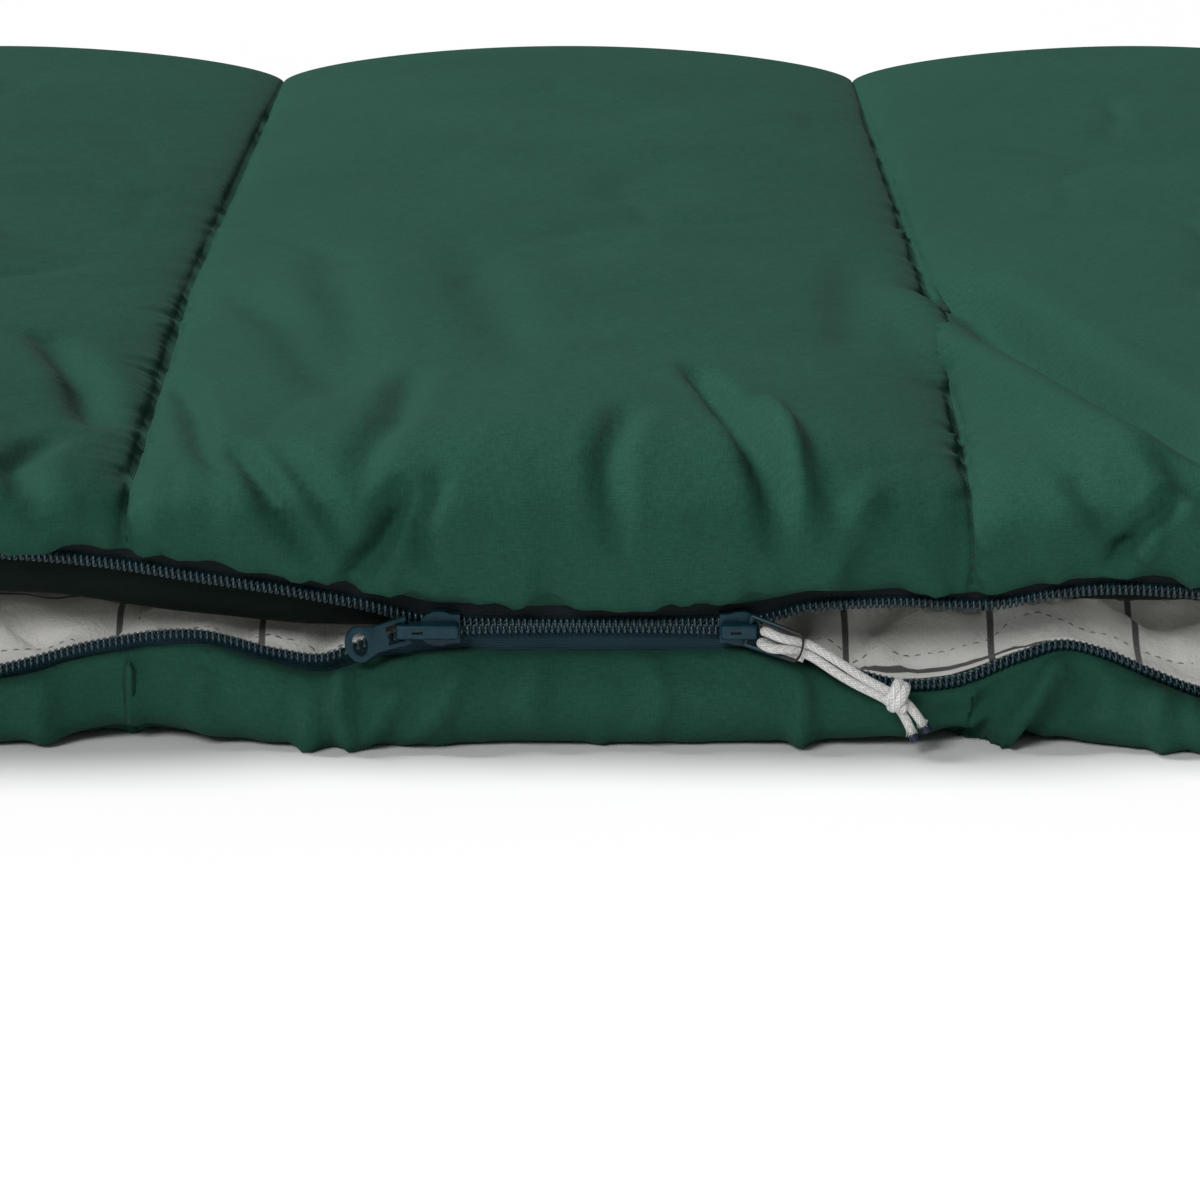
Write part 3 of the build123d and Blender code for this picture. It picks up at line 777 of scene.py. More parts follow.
def top_section(x, settings):
    """Control points of the top quilt's shell, from its hem behind the zip to its far hem."""
    lip = lip_height(x, 1)
    rounding = end_round(x, 34 * MM)
    share = channel_share(x)
    crown = VALLEY_Z + (TOP_HIGH.z - VALLEY_Z) * share**0.55
    crown = lip + (crown - lip) * rounding
    rise = crown - lip
    bulge = (0.35 + 0.65 * share**0.6) * settings.front_bulge * rounding
    bulge = bulge * (1 + 0.12 * soft_noise(x, x * 0, 70 * MM, 5))
    lean = coil_lean(x, 1)
    w = [-9 * MM, lean + 0.9 * MM, lean + 0.62 * bulge + 1 * MM, bulge]
    w = section_frame(x, w + [bulge - back * MM for back in (3, 20, 52)])
    climb = [lip + share_up * rise for share_up in (0.05, 0.33, 0.68, 0.94)]
    near_z = section_frame(x, [lip + 0.8 * MM * rounding, lip, *climb, crown])
    near_y = zip_line_y(x)[:, None] - w
    low = TOP_LOW.z + 0.5 * MM
    far = FAR_Y
    far_y = section_frame(x, [0.12, far - 55 * MM, far - 20 * MM, far - 4 * MM, far, far - 4 * MM, far - HEM])
    tall = crown - low
    fall = [low + share_up * tall for share_up in (0.93, 0.66, 0.34, 0.1, 0)]
    far_z = section_frame(x, [crown, crown, *fall])
    mid_y = section_frame(x, [zip_line_y(x) + 0.12, zip_line_y(x) + 0.28])
    mid_z = section_frame(x, [crown, crown])
    y, z = np.concatenate([near_y, mid_y, far_y], 1), np.concatenate([near_z, mid_z, far_z], 1)
    return np.stack([y, z], 2)


def bottom_section(x):
    """Control points of the bottom quilt's shell, from its hem behind the zip to its far hem."""
    lip = lip_height(x, -1)
    rounding = end_round(x, 16 * MM)
    share = channel_share(x)
    lean = coil_lean(x, -1)
    sag = np.clip((x - 0.15) / 0.05, 0, 1) * np.clip((0.33 - x) / 0.1, 0, 1)
    bulge = (2.0 + 9.5 * share**0.45 + 6 * sag) * MM
    bulge = (lean * 0.6 + bulge) * rounding
    lift = (1 - share**0.28) * 6.0 * MM + 0.4 * MM
    middle = ZIP_Z * 0.4
    depth = rounding[:, None]
    w = [-9 * MM, lean + 0.9 * MM, lean + 0.45 * bulge + 1 * MM, bulge, bulge - 1.5 * MM, bulge - 9 * MM]
    w = section_frame(x, [*w, -30 * MM])
    heights = section_frame(
        x, [lip - 0.5 * MM, lip, lip - 2.2 * MM, lip * 0.60, lip * 0.22 + lift * 0.5, lift, x * 0 + 0.3 * MM]
    )
    near_z = middle + (heights - middle) * depth
    near_y = zip_line_y(x)[:, None] - w
    far, high = FAR_Y, BOTTOM_HIGH.z
    far_y = section_frame(x, [0.12, far - 30 * MM, far - 7 * MM, far, far - 1 * MM, far - HEM])
    far_z = section_frame(x, [x * 0 + 0.3 * MM, x * 0 + 0.3 * MM, 3 * MM, 0.45 * high, 0.85 * high, high])
    far_z = middle + (far_z - middle) * depth
    return np.stack([np.concatenate([near_y, far_y], 1), np.concatenate([near_z, far_z], 1)], 2)


def quilt_piece(name, x, controls, spans, relief, material, inner_z, spread):
    """A stuffed quilt: its shell between the two hems, closed by a hidden face behind the lining."""
    section = along_section(controls, spans)
    points = np.concatenate([np.broadcast_to(x[:, None, None], (*section.shape[:2], 1)), section], 2)
    steps = np.linalg.norm(np.diff(points, axis=1), axis=2)
    edge = spans[0]
    a = np.concatenate([np.zeros((len(x), 1)), np.cumsum(steps, 1)], 1)
    a = a - a[:, edge : edge + 1]
    wide_x = np.broadcast_to(x[:, None], a.shape)
    normal = grid_normals(points)
    points = points + normal * relief(wide_x, a)[:, :, None]
    points[:, :, 0] += drift(wide_x, a) * spread
    points[:, :, 2] = np.maximum(points[:, :, 2], 0.15 * MM)
    shell = points.copy()
    near, far = points[:, :1], points[:, -1:]
    share = np.linspace(0, 1, 7)[1:-1][None, :, None]
    inside = far + (near - far) * share
    inside[:, :, 2] = inner_z
    whole = np.concatenate([points, inside], 1)
    rows, columns = whole.shape[:2]
    cloth = np.pad(a, ((0, 0), (0, columns - a.shape[1])))
    uv = np.stack([np.broadcast_to(x[:, None], (rows, columns)), cloth], 2)
    faces = grid_faces(rows, columns, closed=True)
    first, last = list(range(columns)), [(rows - 1) * columns + k for k in range(columns)]
    faces += [first, last[::-1]]
    piece = mesh_piece(name, whole.reshape(-1, 3), faces, material, uv.reshape(-1, 2))
    outward(piece)
    return piece, shell


def lining_height(x, y, up):
    """Height of a lining over the plan. The bottom one rises from its hem behind the zip."""
    share = channel_share(x)
    from_zip = y - zip_line_y(x)
    from_edge = np.minimum(np.minimum(x - FOOT_X, HEAD_X - x), FAR_Y - y) - HEM
    sides = np.clip(from_edge / (50 * MM), 0, 1)
    soft = soft_noise(x, y, 46 * MM, 21 + up) * 1.3 + soft_noise(x, y, 19 * MM, 23 + up) * 0.5
    hem = lip_height(x, up)
    near = np.clip((from_zip - 9 * MM) / (27 * MM), 0, 1)
    near = near * near * (3 - 2 * near)
    if up < 0:
        inner = BOTTOM_HIGH.z + (1.2 + 2.2 * share**0.5 + soft) * MM * sides
        rumple = 4.6 * creases(x + 0.4 * from_zip, from_zip, 26 * MM, 31) + 2.2 * creases(x, y, 13 * MM, 35)
        rumple = rumple * MM * np.clip(1 - from_zip / 0.2, 0.15, 1)
        rumple = rumple + 3.0 * fold_relief(x, from_zip, LINING_FOLDS)
        rumple = rumple + 1.5 * MM * soft_noise(x + 0.6 * from_zip, from_zip * 0.4, 9 * MM, 37)
        z = (hem - 0.3 * MM) * (1 - near) + inner * near
        return z + rumple * np.clip((from_zip - 10 * MM) / (8 * MM), 0, 1)
    inner = TOP_LOW.z - (0.4 + 1.2 * share**0.5 + soft * 0.8) * MM * sides
    return (hem + 1.0 * MM) * (1 - near) + inner * near


def lining_piece(name, up, x, material):
    """A lining sheet over the plan inside the hem, with its own thickness."""
    cross = graded(0, 1, 0.0036, 0.014, 0.0, 0.10)
    near = zip_line_y(x) + 9 * MM
    far = FAR_Y - HEM
    y = near[:, None] + (far - near)[:, None] * cross[None, :]
    wide_x = np.broadcast_to(x[:, None], y.shape)
    z = lining_height(wide_x, y, up)
    points = np.stack([wide_x, y, z], 2)
    slip = (10 * np.exp(-(((wide_x - 0.112) / 0.042) ** 4)) - 4) * MM
    uv = np.stack([wide_x, y - ZIP_Y - slip], 2)
    faces = grid_faces(*y.shape)
    if up < 0:
        faces = [face[::-1] for face in faces]
    piece = mesh_piece(name, points.reshape(-1, 3), faces, material, uv.reshape(-1, 2))
    apply_modifier(piece, "SOLIDIFY", thickness=0.5 * MM, offset=-1)
    return piece


# ---- Stitches -----------------------------------------------------------------------------------
def stitches(name, rows, pitch, length, radius, material):
    """Stitches along rows of points, each a small spindle laid along its row."""
    rings = [(0.0, 0.25), (0.12, 0.8), (0.5, 1.0), (0.88, 0.8), (1.0, 0.25)]
    sides = 5
    turn = [2 * math.pi * k / sides for k in range(sides)]
    points, faces = [], []
    for row, normals in rows:
        row, normals = np.asarray(row), np.asarray(normals)
        steps = np.linalg.norm(np.diff(row, axis=0), axis=1)
        place = np.concatenate([[0], np.cumsum(steps)])
        for q in np.arange(pitch / 2, place[-1] - length, pitch):
            ends = [np.array([np.interp(s, place, row[:, k]) for k in range(3)]) for s in (q, q + length)]
            up = np.array([np.interp(q, place, normals[:, k]) for k in range(3)])
            along = ends[1] - ends[0]
            side = np.cross(along, up)
            side = side / max(np.linalg.norm(side), 1e-12)
            up = np.cross(side, along) / max(np.linalg.norm(along), 1e-12)
            base = len(points)
            for share, size in rings:
                centre = ends[0] + along * share + up * radius * (1.4 * math.sin(math.pi * share) - 0.2)
                for t in turn:
                    points.append(centre + radius * size * (math.cos(t) * side + math.sin(t) * up))
            for ring in range(len(rings) - 1):
                for k in range(sides):
                    n = (k + 1) % sides
                    low, high = base + ring * sides, base + (ring + 1) * sides
                    faces.append((low + k, low + n, high + n, high + k))
            faces.append(tuple(base + k for k in reversed(range(sides))))
            faces.append(tuple(base + (len(rings) - 1) * sides + k for k in range(sides)))
    piece = mesh_piece(name, points, faces, material)
    outward(piece)
    return piece


# ---- Tubes --------------------------------------------------------------------------------------
def spline_points(route, resolution):
    """Points read from a smooth curve of order 3 that has the route as its control points."""
    curve = bpy.data.curves.new("route", "CURVE")
    curve.dimensions = "3D"
    curve.resolution_u = resolution
    spline = curve.splines.new("NURBS")
    spline.points.add(len(route) - 1)
    for point, place in zip(spline.points, route):
        point.co = (*place, 1.0)
    spline.order_u = 3
    spline.use_endpoint_u = True
    holder = bpy.data.objects.new("route", curve)
    bpy.context.scene.collection.objects.link(holder)
    bpy.context.view_layer.update()
    mesh = bpy.data.meshes.new_from_object(holder)
    points = np.array([v.co[:] for v in mesh.vertices])
    bpy.data.objects.remove(holder)
    bpy.data.curves.remove(curve)
    bpy.data.meshes.remove(mesh)
    return points


def tube_piece(name, points, radii, sides, material):
    """A closed round tube along points, with its length and turn as its map."""
    points = np.asarray(points)
    radii = np.broadcast_to(radii, len(points))
    tangent = np.gradient(points, axis=0)
    tangent /= np.linalg.norm(tangent, axis=1, keepdims=True)
    normal = np.cross(tangent[0], (0, 0, 1))
    length = np.concatenate([[0], np.cumsum(np.linalg.norm(np.diff(points, axis=0), axis=1))])
    rings, uv = [], []
    for k, (place, along, radius) in enumerate(zip(points, tangent, radii)):
        normal = normal - along * np.dot(normal, along)
        normal /= np.linalg.norm(normal)
        side = np.cross(along, normal)
        for j in range(sides):
            t = 2 * math.pi * j / sides
            rings.append(place + radius * (math.cos(t) * normal + math.sin(t) * side))
            uv.append((length[k], abs(2 * j / sides - 1)))
    faces = grid_faces(len(points), sides, closed=True)
    faces += [list(range(sides))[::-1], [(len(points) - 1) * sides + j for j in range(sides)]]
    piece = mesh_piece(name, rings, faces, material, uv)
    outward(piece)
    return piece


# ---- Zip pieces ---------------------------------------------------------------------------------
def coil_piece(name, up, settings, material):
    """One coil: an oval helix of nylon wire, with thicker heads on its inner side."""
    pitch, wire = settings.pitch, settings.wire
    inner_reach, half_v, half_w = 0.3 * MM, 1.36 * MM, 0.85 * MM

    def per_turn(x):
        return 16 if beside_sliders(x) else 8

    q, x, y, nx, ny = zip_route(lambda x: pitch / per_turn(x))
    straight_from = ZIP_FAR_Y - CORNER_Y + ZIP_RADIUS * math.pi / 2
    fine = np.array([beside_sliders(place) for place in q - straight_from + CORNER_X])
    fine_on = fine & (x > CORNER_X)
    angle = 2 * np.pi * q / pitch + (0 if up > 0 else np.pi)
    slant = 0.32 * MM * np.cos(angle)
    radius = wire * (1 + 0.22 * np.clip(-np.cos(angle), 0, 1) ** 4)
    v = up * (half_v * np.cos(angle) - inner_reach)
    lean = coil_lean(x, up) * (x > CORNER_X)
    w = 1.35 * MM + 0.3 * MM + half_w * np.sin(angle) + lean
    z = coil_height(x, up) + v
    tx, ty = -ny, nx
    centre = np.stack([x + nx * w + tx * slant, y + ny * w + ty * slant, z], 1)
    out = np.stack([nx * np.sin(angle), ny * np.sin(angle), up * np.cos(angle)], 1)
    along = np.stack([tx, ty, np.zeros_like(tx)], 1)
    rings, faces, uv = [], [], []
    for begin, end, sides in runs_of(fine_on):
        base = sum(len(r) for r in rings)
        turn = 2 * np.pi * np.arange(sides) / sides
        turned = np.cos(turn)[None, :, None] * out[begin:end, None]
        turned = turned + np.sin(turn)[None, :, None] * along[begin:end, None]
        ring = centre[begin:end, None] + radius[begin:end, None, None] * turned
        rings.append(ring.reshape(-1, 3))
        turns = angle[begin:end] / (2 * np.pi)
        uv.append(np.stack([np.repeat(turns, sides), np.tile(turn, end - begin)], 1))
        count = end - begin
        faces += [[base + k for k in face] for face in grid_faces(count, sides, closed=True)]
        faces.append([base + k for k in reversed(range(sides))])
        faces.append([base + (count - 1) * sides + k for k in range(sides)])
    piece = mesh_piece(name, np.concatenate(rings), faces, material, np.concatenate(uv))
    outward(piece)
    return piece


def runs_of(fine):
    """Runs of like samples as (begin, end, sides of the wire there)."""
    changes = [0, *(np.flatnonzero(np.diff(fine.astype(int))) + 1), len(fine)]
    return [(b, min(e + 1, len(fine)), 6 if fine[b] else 4) for b, e in zip(changes, changes[1:])]


def tape_piece(name, up, material):
    """One zip tape: a thin strip from under its coil to its sewn edge, with a thickened cord edge."""
    q, x, y, nx, ny = zip_route(lambda x: 2.4 * MM if beside_sliders(x) else 6 * MM)
    lean = coil_lean(x, up) * (x > CORNER_X)
    middle = coil_height(x, up)
    edge = lip_height(x, up) + up * 2.2 * MM
    across = np.array([0.0, 0.0, 0.10, 0.45, 0.8, 1.0, 1.0, 0.8, 0.45, 0.10])
    thick = np.array([-0.3, 0.3, 0.42, 0.3, 0.3, 0.25, -0.25, -0.3, -0.3, -0.3]) * MM
    start = middle - up * 1.2 * MM
    share = across[None, :]
    z = start[:, None] * (1 - share) + edge[:, None] * share
    w = lean[:, None] * (1 - share * 0.6) + thick[None, :]
    points = np.stack([x[:, None] + nx[:, None] * w, y[:, None] + ny[:, None] * w, z], 2)
    uv = np.stack([np.broadcast_to(q[:, None], z.shape), z], 2)
    return swept_piece(name, points, uv, material)


def refined(node, name, bevel, material):
    """A copy of a machined node with its faces joined up and its edges rounded."""
    piece = NODES[node].copy()
    piece.data = NODES[node].data.copy()
    for key in list(piece.keys()):
        del piece[key]
    piece.parent = None
    piece.name = name
    piece.data.name = name
    bpy.context.scene.collection.objects.link(piece)
    only(piece)
    bpy.ops.object.mode_set(mode="EDIT")
    bpy.ops.mesh.select_all(action="SELECT")
    bpy.ops.mesh.remove_doubles(threshold=0.004 * MM)
    bpy.ops.mesh.dissolve_limited(angle_limit=math.radians(1.5))
    bpy.ops.object.mode_set(mode="OBJECT")
    corner = math.radians(35)
    apply_modifier(piece, "BEVEL", width=bevel, segments=3, limit_method="ANGLE", angle_limit=corner)
    bpy.ops.object.shade_smooth_by_angle(angle=math.radians(40))
    piece.data.materials.clear()
    piece.data.materials.append(material)
    return piece


# ---- Fitting to the frame -----------------------------------------------------------------------
def fit(piece, body, slot, *nodes):
    """Hangs a finished piece on its body and hides the nodes that it stands for. The slot is not used."""
    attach(piece, body)
    if nodes:
        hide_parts(*nodes)


def paint_node(name, material):
    """Gives a carried-over node its finish."""
    slots = NODES[name].data.materials
    slots.clear()
    slots.append(material)


FINISHES = {}


def finish(name, make, *values):
    """A finish by its name, made the first time that it is asked for."""
    if name not in FINISHES:
        FINISHES[name] = make(*values)
    return FINISHES[name]


def shell_finish(scene):
    """The green shell fabric in its set colour."""
    return finish("shell_fabric", shell_fabric, "shell_fabric", tuple(scene.bag_quilts.shell_colour))


# ---- Stage --------------------------------------------------------------------------------------
FLOOR_SIZE = 80
SKY_POWER = 0.16
# The two soft suns: where each shines from, and how wide its disc is.
KEY_FROM, KEY_SPREAD = (-2.2, 0.55, 2.7), math.radians(26)
FILL_FROM, FILL_SPREAD = (-1.6, -3.0, 2.5), math.radians(22)
# The camera looks a little above the zip, and past the middle of the closed stretch.
VIEW_UP, VIEW_ASIDE = 7.4 * MM, 3 * MM


class BAG_OT_stage(bpy.types.Operator):
    """Floor, lights and camera"""

    bl_idname = "bag.stage"
    bl_label = "Stage"

    def execute(self, context):
        s = context.scene.bag_stage
        bpy.ops.mesh.primitive_plane_add(size=FLOOR_SIZE, location=(0, 0, 0))
        floor = context.object
        floor.name = "studio_floor"
        floor.data.materials.append(finish("studio_floor", pale_floor))
        bpy.ops.object.transform_apply(location=True, rotation=True, scale=True)

        world = bpy.data.worlds.new("studio")
        context.scene.world = world
        world.use_nodes = True
        background = world.node_tree.nodes["Background"].inputs
        background["Color"].default_value = (1, 1, 1, 1)
        background["Strength"].default_value = SKY_POWER
        for name, place, spread, power in (
            ("key", KEY_FROM, KEY_SPREAD, s.key_power),
            ("fill", FILL_FROM, FILL_SPREAD, s.fill_power),
        ):
            light = bpy.data.lights.new(name, "SUN")
            light.energy = power
            light.angle = spread
            lamp = bpy.data.objects.new(name, light)
            context.scene.collection.objects.link(lamp)
            lamp.location = place
            lamp.rotation_euler = (-Vector(place)).to_track_quat("-Z", "Y").to_euler()

        camera = bpy.data.objects.new("camera", bpy.data.cameras.new("camera"))
        context.scene.collection.objects.link(camera)
        middle = (FOOT_TAIL + HEAD_TAIL) / 2 + VIEW_ASIDE
        back = Vector((0, -math.cos(s.elevation), math.sin(s.elevation)))
        rise = Vector((0, math.sin(s.elevation), math.cos(s.elevation)))
        target = Vector((middle, ZIP_Y, ZIP_Z)) + rise * VIEW_UP
        camera.location = target + back * s.distance
        camera.rotation_euler = (-back).to_track_quat("-Z", "Y").to_euler()
        camera.data.lens = camera.data.sensor_width * s.distance / s.view_width
        camera.data.clip_end = 50
        context.scene.camera = camera
        context.scene.view_settings.view_transform = "Standard"
        return {"FINISHED"}


# The doubled cord's two strands, each from behind the end bar of its pull to its tip.
STRAND_ROUTES = {
    "upper": [
        (0.0767, -0.4256, 0.0314), (0.0712, -0.4246, 0.0327), (0.0660, -0.4242, 0.0347),
        (0.0632, -0.4254, 0.0364), (0.0645, -0.4283, 0.0369), (0.0678, -0.4295, 0.0355),
        (0.0715, -0.4283, 0.0343), (0.0753, -0.4273, 0.0334), (0.0793, -0.4287, 0.0319),
        (0.0859, -0.4307, 0.0281), (0.0926, -0.4322, 0.0239), (0.0991, -0.4335, 0.0207),
        (0.1044, -0.4341, 0.0179), (0.1078, -0.4342, 0.0142), (0.1105, -0.4343, 0.0100),
    ],
    "lower": [
        (0.0755, -0.4260, 0.0282), (0.0703, -0.4251, 0.0300), (0.0655, -0.4244, 0.0323),
        (0.0624, -0.4255, 0.0331), (0.0630, -0.4282, 0.0328), (0.0660, -0.4298, 0.0320),
        (0.0701, -0.4287, 0.0318), (0.0746, -0.4273, 0.0305), (0.0785, -0.4288, 0.0290),
        (0.0848, -0.4306, 0.0249), (0.0915, -0.4320, 0.0213), (0.0981, -0.4331, 0.0184),
        (0.1028, -0.4336, 0.0156), (0.1054, -0.4341, 0.0119), (0.1073, -0.4345, 0.0075),
    ],
}  # fmt: skip


class BAG_OT_cord(bpy.types.Operator):
    """Doubled pull cord with its knot, sealed tips and frayed ends"""

    bl_idname = "bag.cord"
    bl_label = "Pull cord"

    def execute(self, context):
        s = context.scene.bag_zip
        braid = finish("cord", braided_cord, tuple(s.cord_colour))
        sealed = finish("cord_tip", moulded, "cord_tip", (0.006, 0.011, 0.035), 0.35)
        low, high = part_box("cord_knot")
        middle = np.array((low + high) / 2)
        along = np.array(STRAND_ROUTES["upper"][-2]) - np.array(STRAND_ROUTES["upper"][-5])
        knot = knot_piece("pull_cord_knot", middle, along, braid)
        fit(knot, "head_pull", "cord", "cord_knot")
        for strand, route in STRAND_ROUTES.items():
            points = spline_points(route, 8)
            cord = tube_piece(f"pull_strand_{strand}", points, s.cord_diameter / 2, 14, braid)
            fit(cord, "head_pull", "cord", f"pull_cord_{strand}")
            tip = refined(f"cord_tip_{strand}", f"sealed_tip_{strand}", 0.2 * MM, sealed)
            fit(tip, "head_pull", "cord_tip", f"cord_tip_{strand}")
            fray = frayed_end(f"frayed_end_{strand}", points, s.cord_diameter / 2, braid)
            fit(fray, "head_pull", "cord")
        return {"FINISHED"}


YARNS = 11
YARN_RADIUS = 0.17 * MM


def frayed_end(name, points, radius, material):
    """Loose yarns that stand out round the sealed tip of a strand."""
    end, along = Vector(points[-1]), Vector(points[-1] - points[-6]).normalized()
    side = along.cross((0, 0, 1)).normalized()
    up = side.cross(along)
    chance = np.random.default_rng(len(points) + int(end.x * 1e5))
    yarns = []
    for k in range(YARNS):
        turn = 2 * math.pi * k / YARNS + chance.uniform(-0.2, 0.2)
        out = side * math.cos(turn) + up * math.sin(turn)
        start = end - along * 1.9 * MM + out * radius * 0.82
        reach, splay = chance.uniform(1.2, 2.4) * MM, chance.uniform(0.25, 1.0) * MM
        route = [start, start + along * reach * 0.5 + out * splay * 0.35, start + along * reach + out * splay]
        yarns.append(tube_piece(f"{name}_{k}", spline_points(route, 3), YARN_RADIUS, 5, material))
    only(yarns[0])
    for yarn in yarns:
        yarn.select_set(True)
    bpy.ops.object.join()
    yarns[0].name = name
    return yarns[0]


KNOT_TURNS = 2.25
KNOT_POINTS = 27


def knot_piece(name, middle, along, material):
    """An overhand knot in the doubled cord: wraps round the cord and one pass over them."""
    axis = Vector(along).normalized()
    out = Vector((0, -1, 0))
    side = axis.cross(out).normalized()
    out = side.cross(axis)
    basis = Matrix((axis, side, out)).transposed()
    route = [Vector((-2.4, 0.2, 0.6))]
    for k in range(KNOT_POINTS):
        t = k / (KNOT_POINTS - 1)
        angle = 2 * math.pi * KNOT_TURNS * t - 0.5
        across = 2.5 + 1.1 * math.sin(math.pi * t)
        along_axis = 4.6 * (t - 0.5) + 0.7 * math.sin(angle + 0.8)
        route.append(Vector((along_axis, across * math.cos(angle), across * math.sin(angle))))
    route.append(Vector((2.2, -0.2, 0.6)))
    route = [place * MM for place in route]
    places = [tuple(basis @ p + Vector(middle)) for p in route]
    points = spline_points(places, 5)
    ends = np.linspace(0, 1, len(points))
    radii = 1.75 * MM * np.clip(np.minimum(ends, 1 - ends) * 14 + 0.6, 0, 1)
    return tube_piece(name, points, radii, 14, material)


class BAG_OT_quilts(bpy.types.Operator):
    """The two stuffed quilts, with folds, puckers and quilting stitches"""

    bl_idname = "bag.quilts"
    bl_label = "Quilts"

    def execute(self, context):
        s = context.scene.bag_quilts
        fabric = shell_finish(context.scene)
        thread = finish("thread", spun_thread, "thread", (0.010, 0.032, 0.022))
        x = long_grid(s)

        def top_relief(wide_x, a):
            calm = np.clip((a - 0.5 * MM) / (5 * MM), 0, 1)
            share = channel_share(wide_x)
            x_seen = wide_x + drift(wide_x, a)
            loose = soft_noise(wide_x, a, 75 * MM, 1) * 2.2 + soft_noise(wide_x, a, 30 * MM, 2) * 0.7
            away = np.clip((np.abs(wide_x - 0.01) - 0.17) / 0.1, 0, 1)
            loose = loose - (2.4 + 1.8 * away) * creases(wide_x, a, 52 * MM, 70)
            loose = (loose - 2.2 * away * creases(a, wide_x, 33 * MM, 80)) * MM * share**0.5
            fan = 14 * MM + 0.35 * np.abs(a)
            gathers = soft_noise(x_seen, a * 0.22, 10 * MM, 8) + 0.6 * soft_noise(x_seen, a * 0.3, 5 * MM, 18)
            gathers = 2.3 * MM * gathers * np.exp(-((np.abs(a) / (30 * MM)) ** 1.5)) * (0.4 + 12 * MM / fan)
            ends = end_round(wide_x, 40 * MM) * np.clip((0.80 - a) / 0.1, 0, 1)
            folds = fold_relief(x_seen, a, TOP_FOLDS) * s.fold_depth
            return (loose + gathers + folds + seam_puckers(wide_x, a, s.pucker)) * calm * ends

        spans = [3, 5, 12, 15, 13, 18, 26, 76, 50, 20, 6, 4, 4, 3, 3]
        section, inner = top_section(x, s), TOP_LOW.z + 6 * MM
        top, top_points = quilt_piece("top_quilt_cover", x, section, spans, top_relief, fabric, inner, 1.0)
        fit(top, "top_quilt", "shell_fabric", "top_shell", "top_fill")

        def bottom_relief(wide_x, a):
            calm = np.clip((a - 0.5 * MM) / (4 * MM), 0, 1) * np.clip((0.11 - a) / 0.05, 0, 1)
            loose = soft_noise(wide_x, a, 42 * MM, 6) * 1.5 - 1.9 * creases(wide_x, a, 26 * MM, 76)
            loose = loose + 0.35 * soft_noise(wide_x, a * 0.5, 7 * MM, 17)
            folds = fold_relief(wide_x, a, BOTTOM_FOLDS) * s.fold_depth * 0.75
            folds = folds * np.clip((36 * MM - a) / (14 * MM), 0, 1)
            ends = end_round(wide_x, 40 * MM)
            puckers = seam_puckers(wide_x, a, s.pucker * 0.9, 3.0)
            return (loose * MM + folds + puckers) * calm * ends

        spans = [3, 5, 10, 10, 8, 8, 20, 24, 4, 4, 3, 3]
        section, inner = bottom_section(x), 8 * MM
        bottom = quilt_piece("bottom_quilt_cover", x, section, spans, bottom_relief, fabric, inner, 0.0)[0]
        fit(bottom, "bottom_quilt", "shell_fabric", "bottom_shell", "bottom_fill")

        normals = grid_normals(top_points)
        rows = []
        for seam in SEAMS:
            k = int(np.argmin(abs(x - seam)))
            rows.append((top_points[k, 6:150], normals[k, 6:150]))
        seam_thread = stitches("top_seam_stitches", rows, 4.2 * MM, 3.1 * MM, 0.32 * MM, thread)
        fit(seam_thread, "top_quilt", "thread", "top_quilting_thread")
        return {"FINISHED"}


TOPSTITCH_FROM_ZIP = 18 * MM


class BAG_OT_linings(bpy.types.Operator):
    """The two checked linings with their topstitching and quilting stitches"""

    bl_idname = "bag.linings"
    bl_label = "Linings"

    def execute(self, context):
        s = context.scene.bag_quilts
        colours = (tuple(s.lining_colour), tuple(s.check_colour), s.check_pitch)
        cotton = finish("lining_fabric", lining_fabric, *colours)
        grey = finish("topstitch_thread", spun_thread, "topstitch_thread", (0.22, 0.21, 0.20))
        pale = finish("lining_thread", spun_thread, "lining_thread", (0.62, 0.61, 0.58))
        x = graded(FOOT_X + HEM, HEAD_X - HEM, 3.2 * MM, s.coarse_step, FINE_FROM, FINE_TO)
        x = with_places(np.maximum(x, ZIP_FOOT_X + 4 * MM), SEAMS)
        for half, up, body in (("bottom", -1, "bottom_quilt"), ("top", 1, "top_quilt")):
            lining = lining_piece(f"{half}_lining_sheet", up, x, cotton)
            fit(lining, body, "lining_fabric", f"{half}_lining")
            lift = -up * 0.5 * MM

            def laid(line_x, line_y):
                z = lining_height(line_x, line_y, up) + lift
                row = np.stack([line_x, line_y, z], 1)
                return row, np.tile((0.0, 0.0, -float(up)), (len(row), 1))

            side = np.arange(CORNER_X, HEAD_X - HEM, 4 * MM)
            rows = [laid(side, zip_line_y(side) + TOPSTITCH_FROM_ZIP)]
            topstitch = stitches(f"{half}_topstitching", rows, 3.6 * MM, 2.3 * MM, 0.24 * MM, grey)
            fit(topstitch, body, "thread", f"{half}_lining_topstitch")
            if up < 0:
                across = np.arange(ZIP_Y + 25 * MM, FAR_Y - 25 * MM, 6 * MM)
                rows = [laid(np.full_like(across, seam), across) for seam in SEAMS]
                seams = stitches("bottom_seam_stitches", rows, 4.2 * MM, 3.0 * MM, 0.28 * MM, pale)
                fit(seams, body, "thread", "bottom_quilting_thread")
        return {"FINISHED"}


# Heights of the draft tube's low edge, from the foot to the head. It sags where the mouth is open.
BAFFLE_EDGE = [
    (-1.0, 33), (-0.3, 40), (-0.137, 41), (-0.104, 36.6), (-0.074, 33.4), (-0.05, 33),
    (0.05, 33.5), (0.08, 38), (0.2, 41), (0.4, 36), (1.1, 33),
]  # fmt: skip


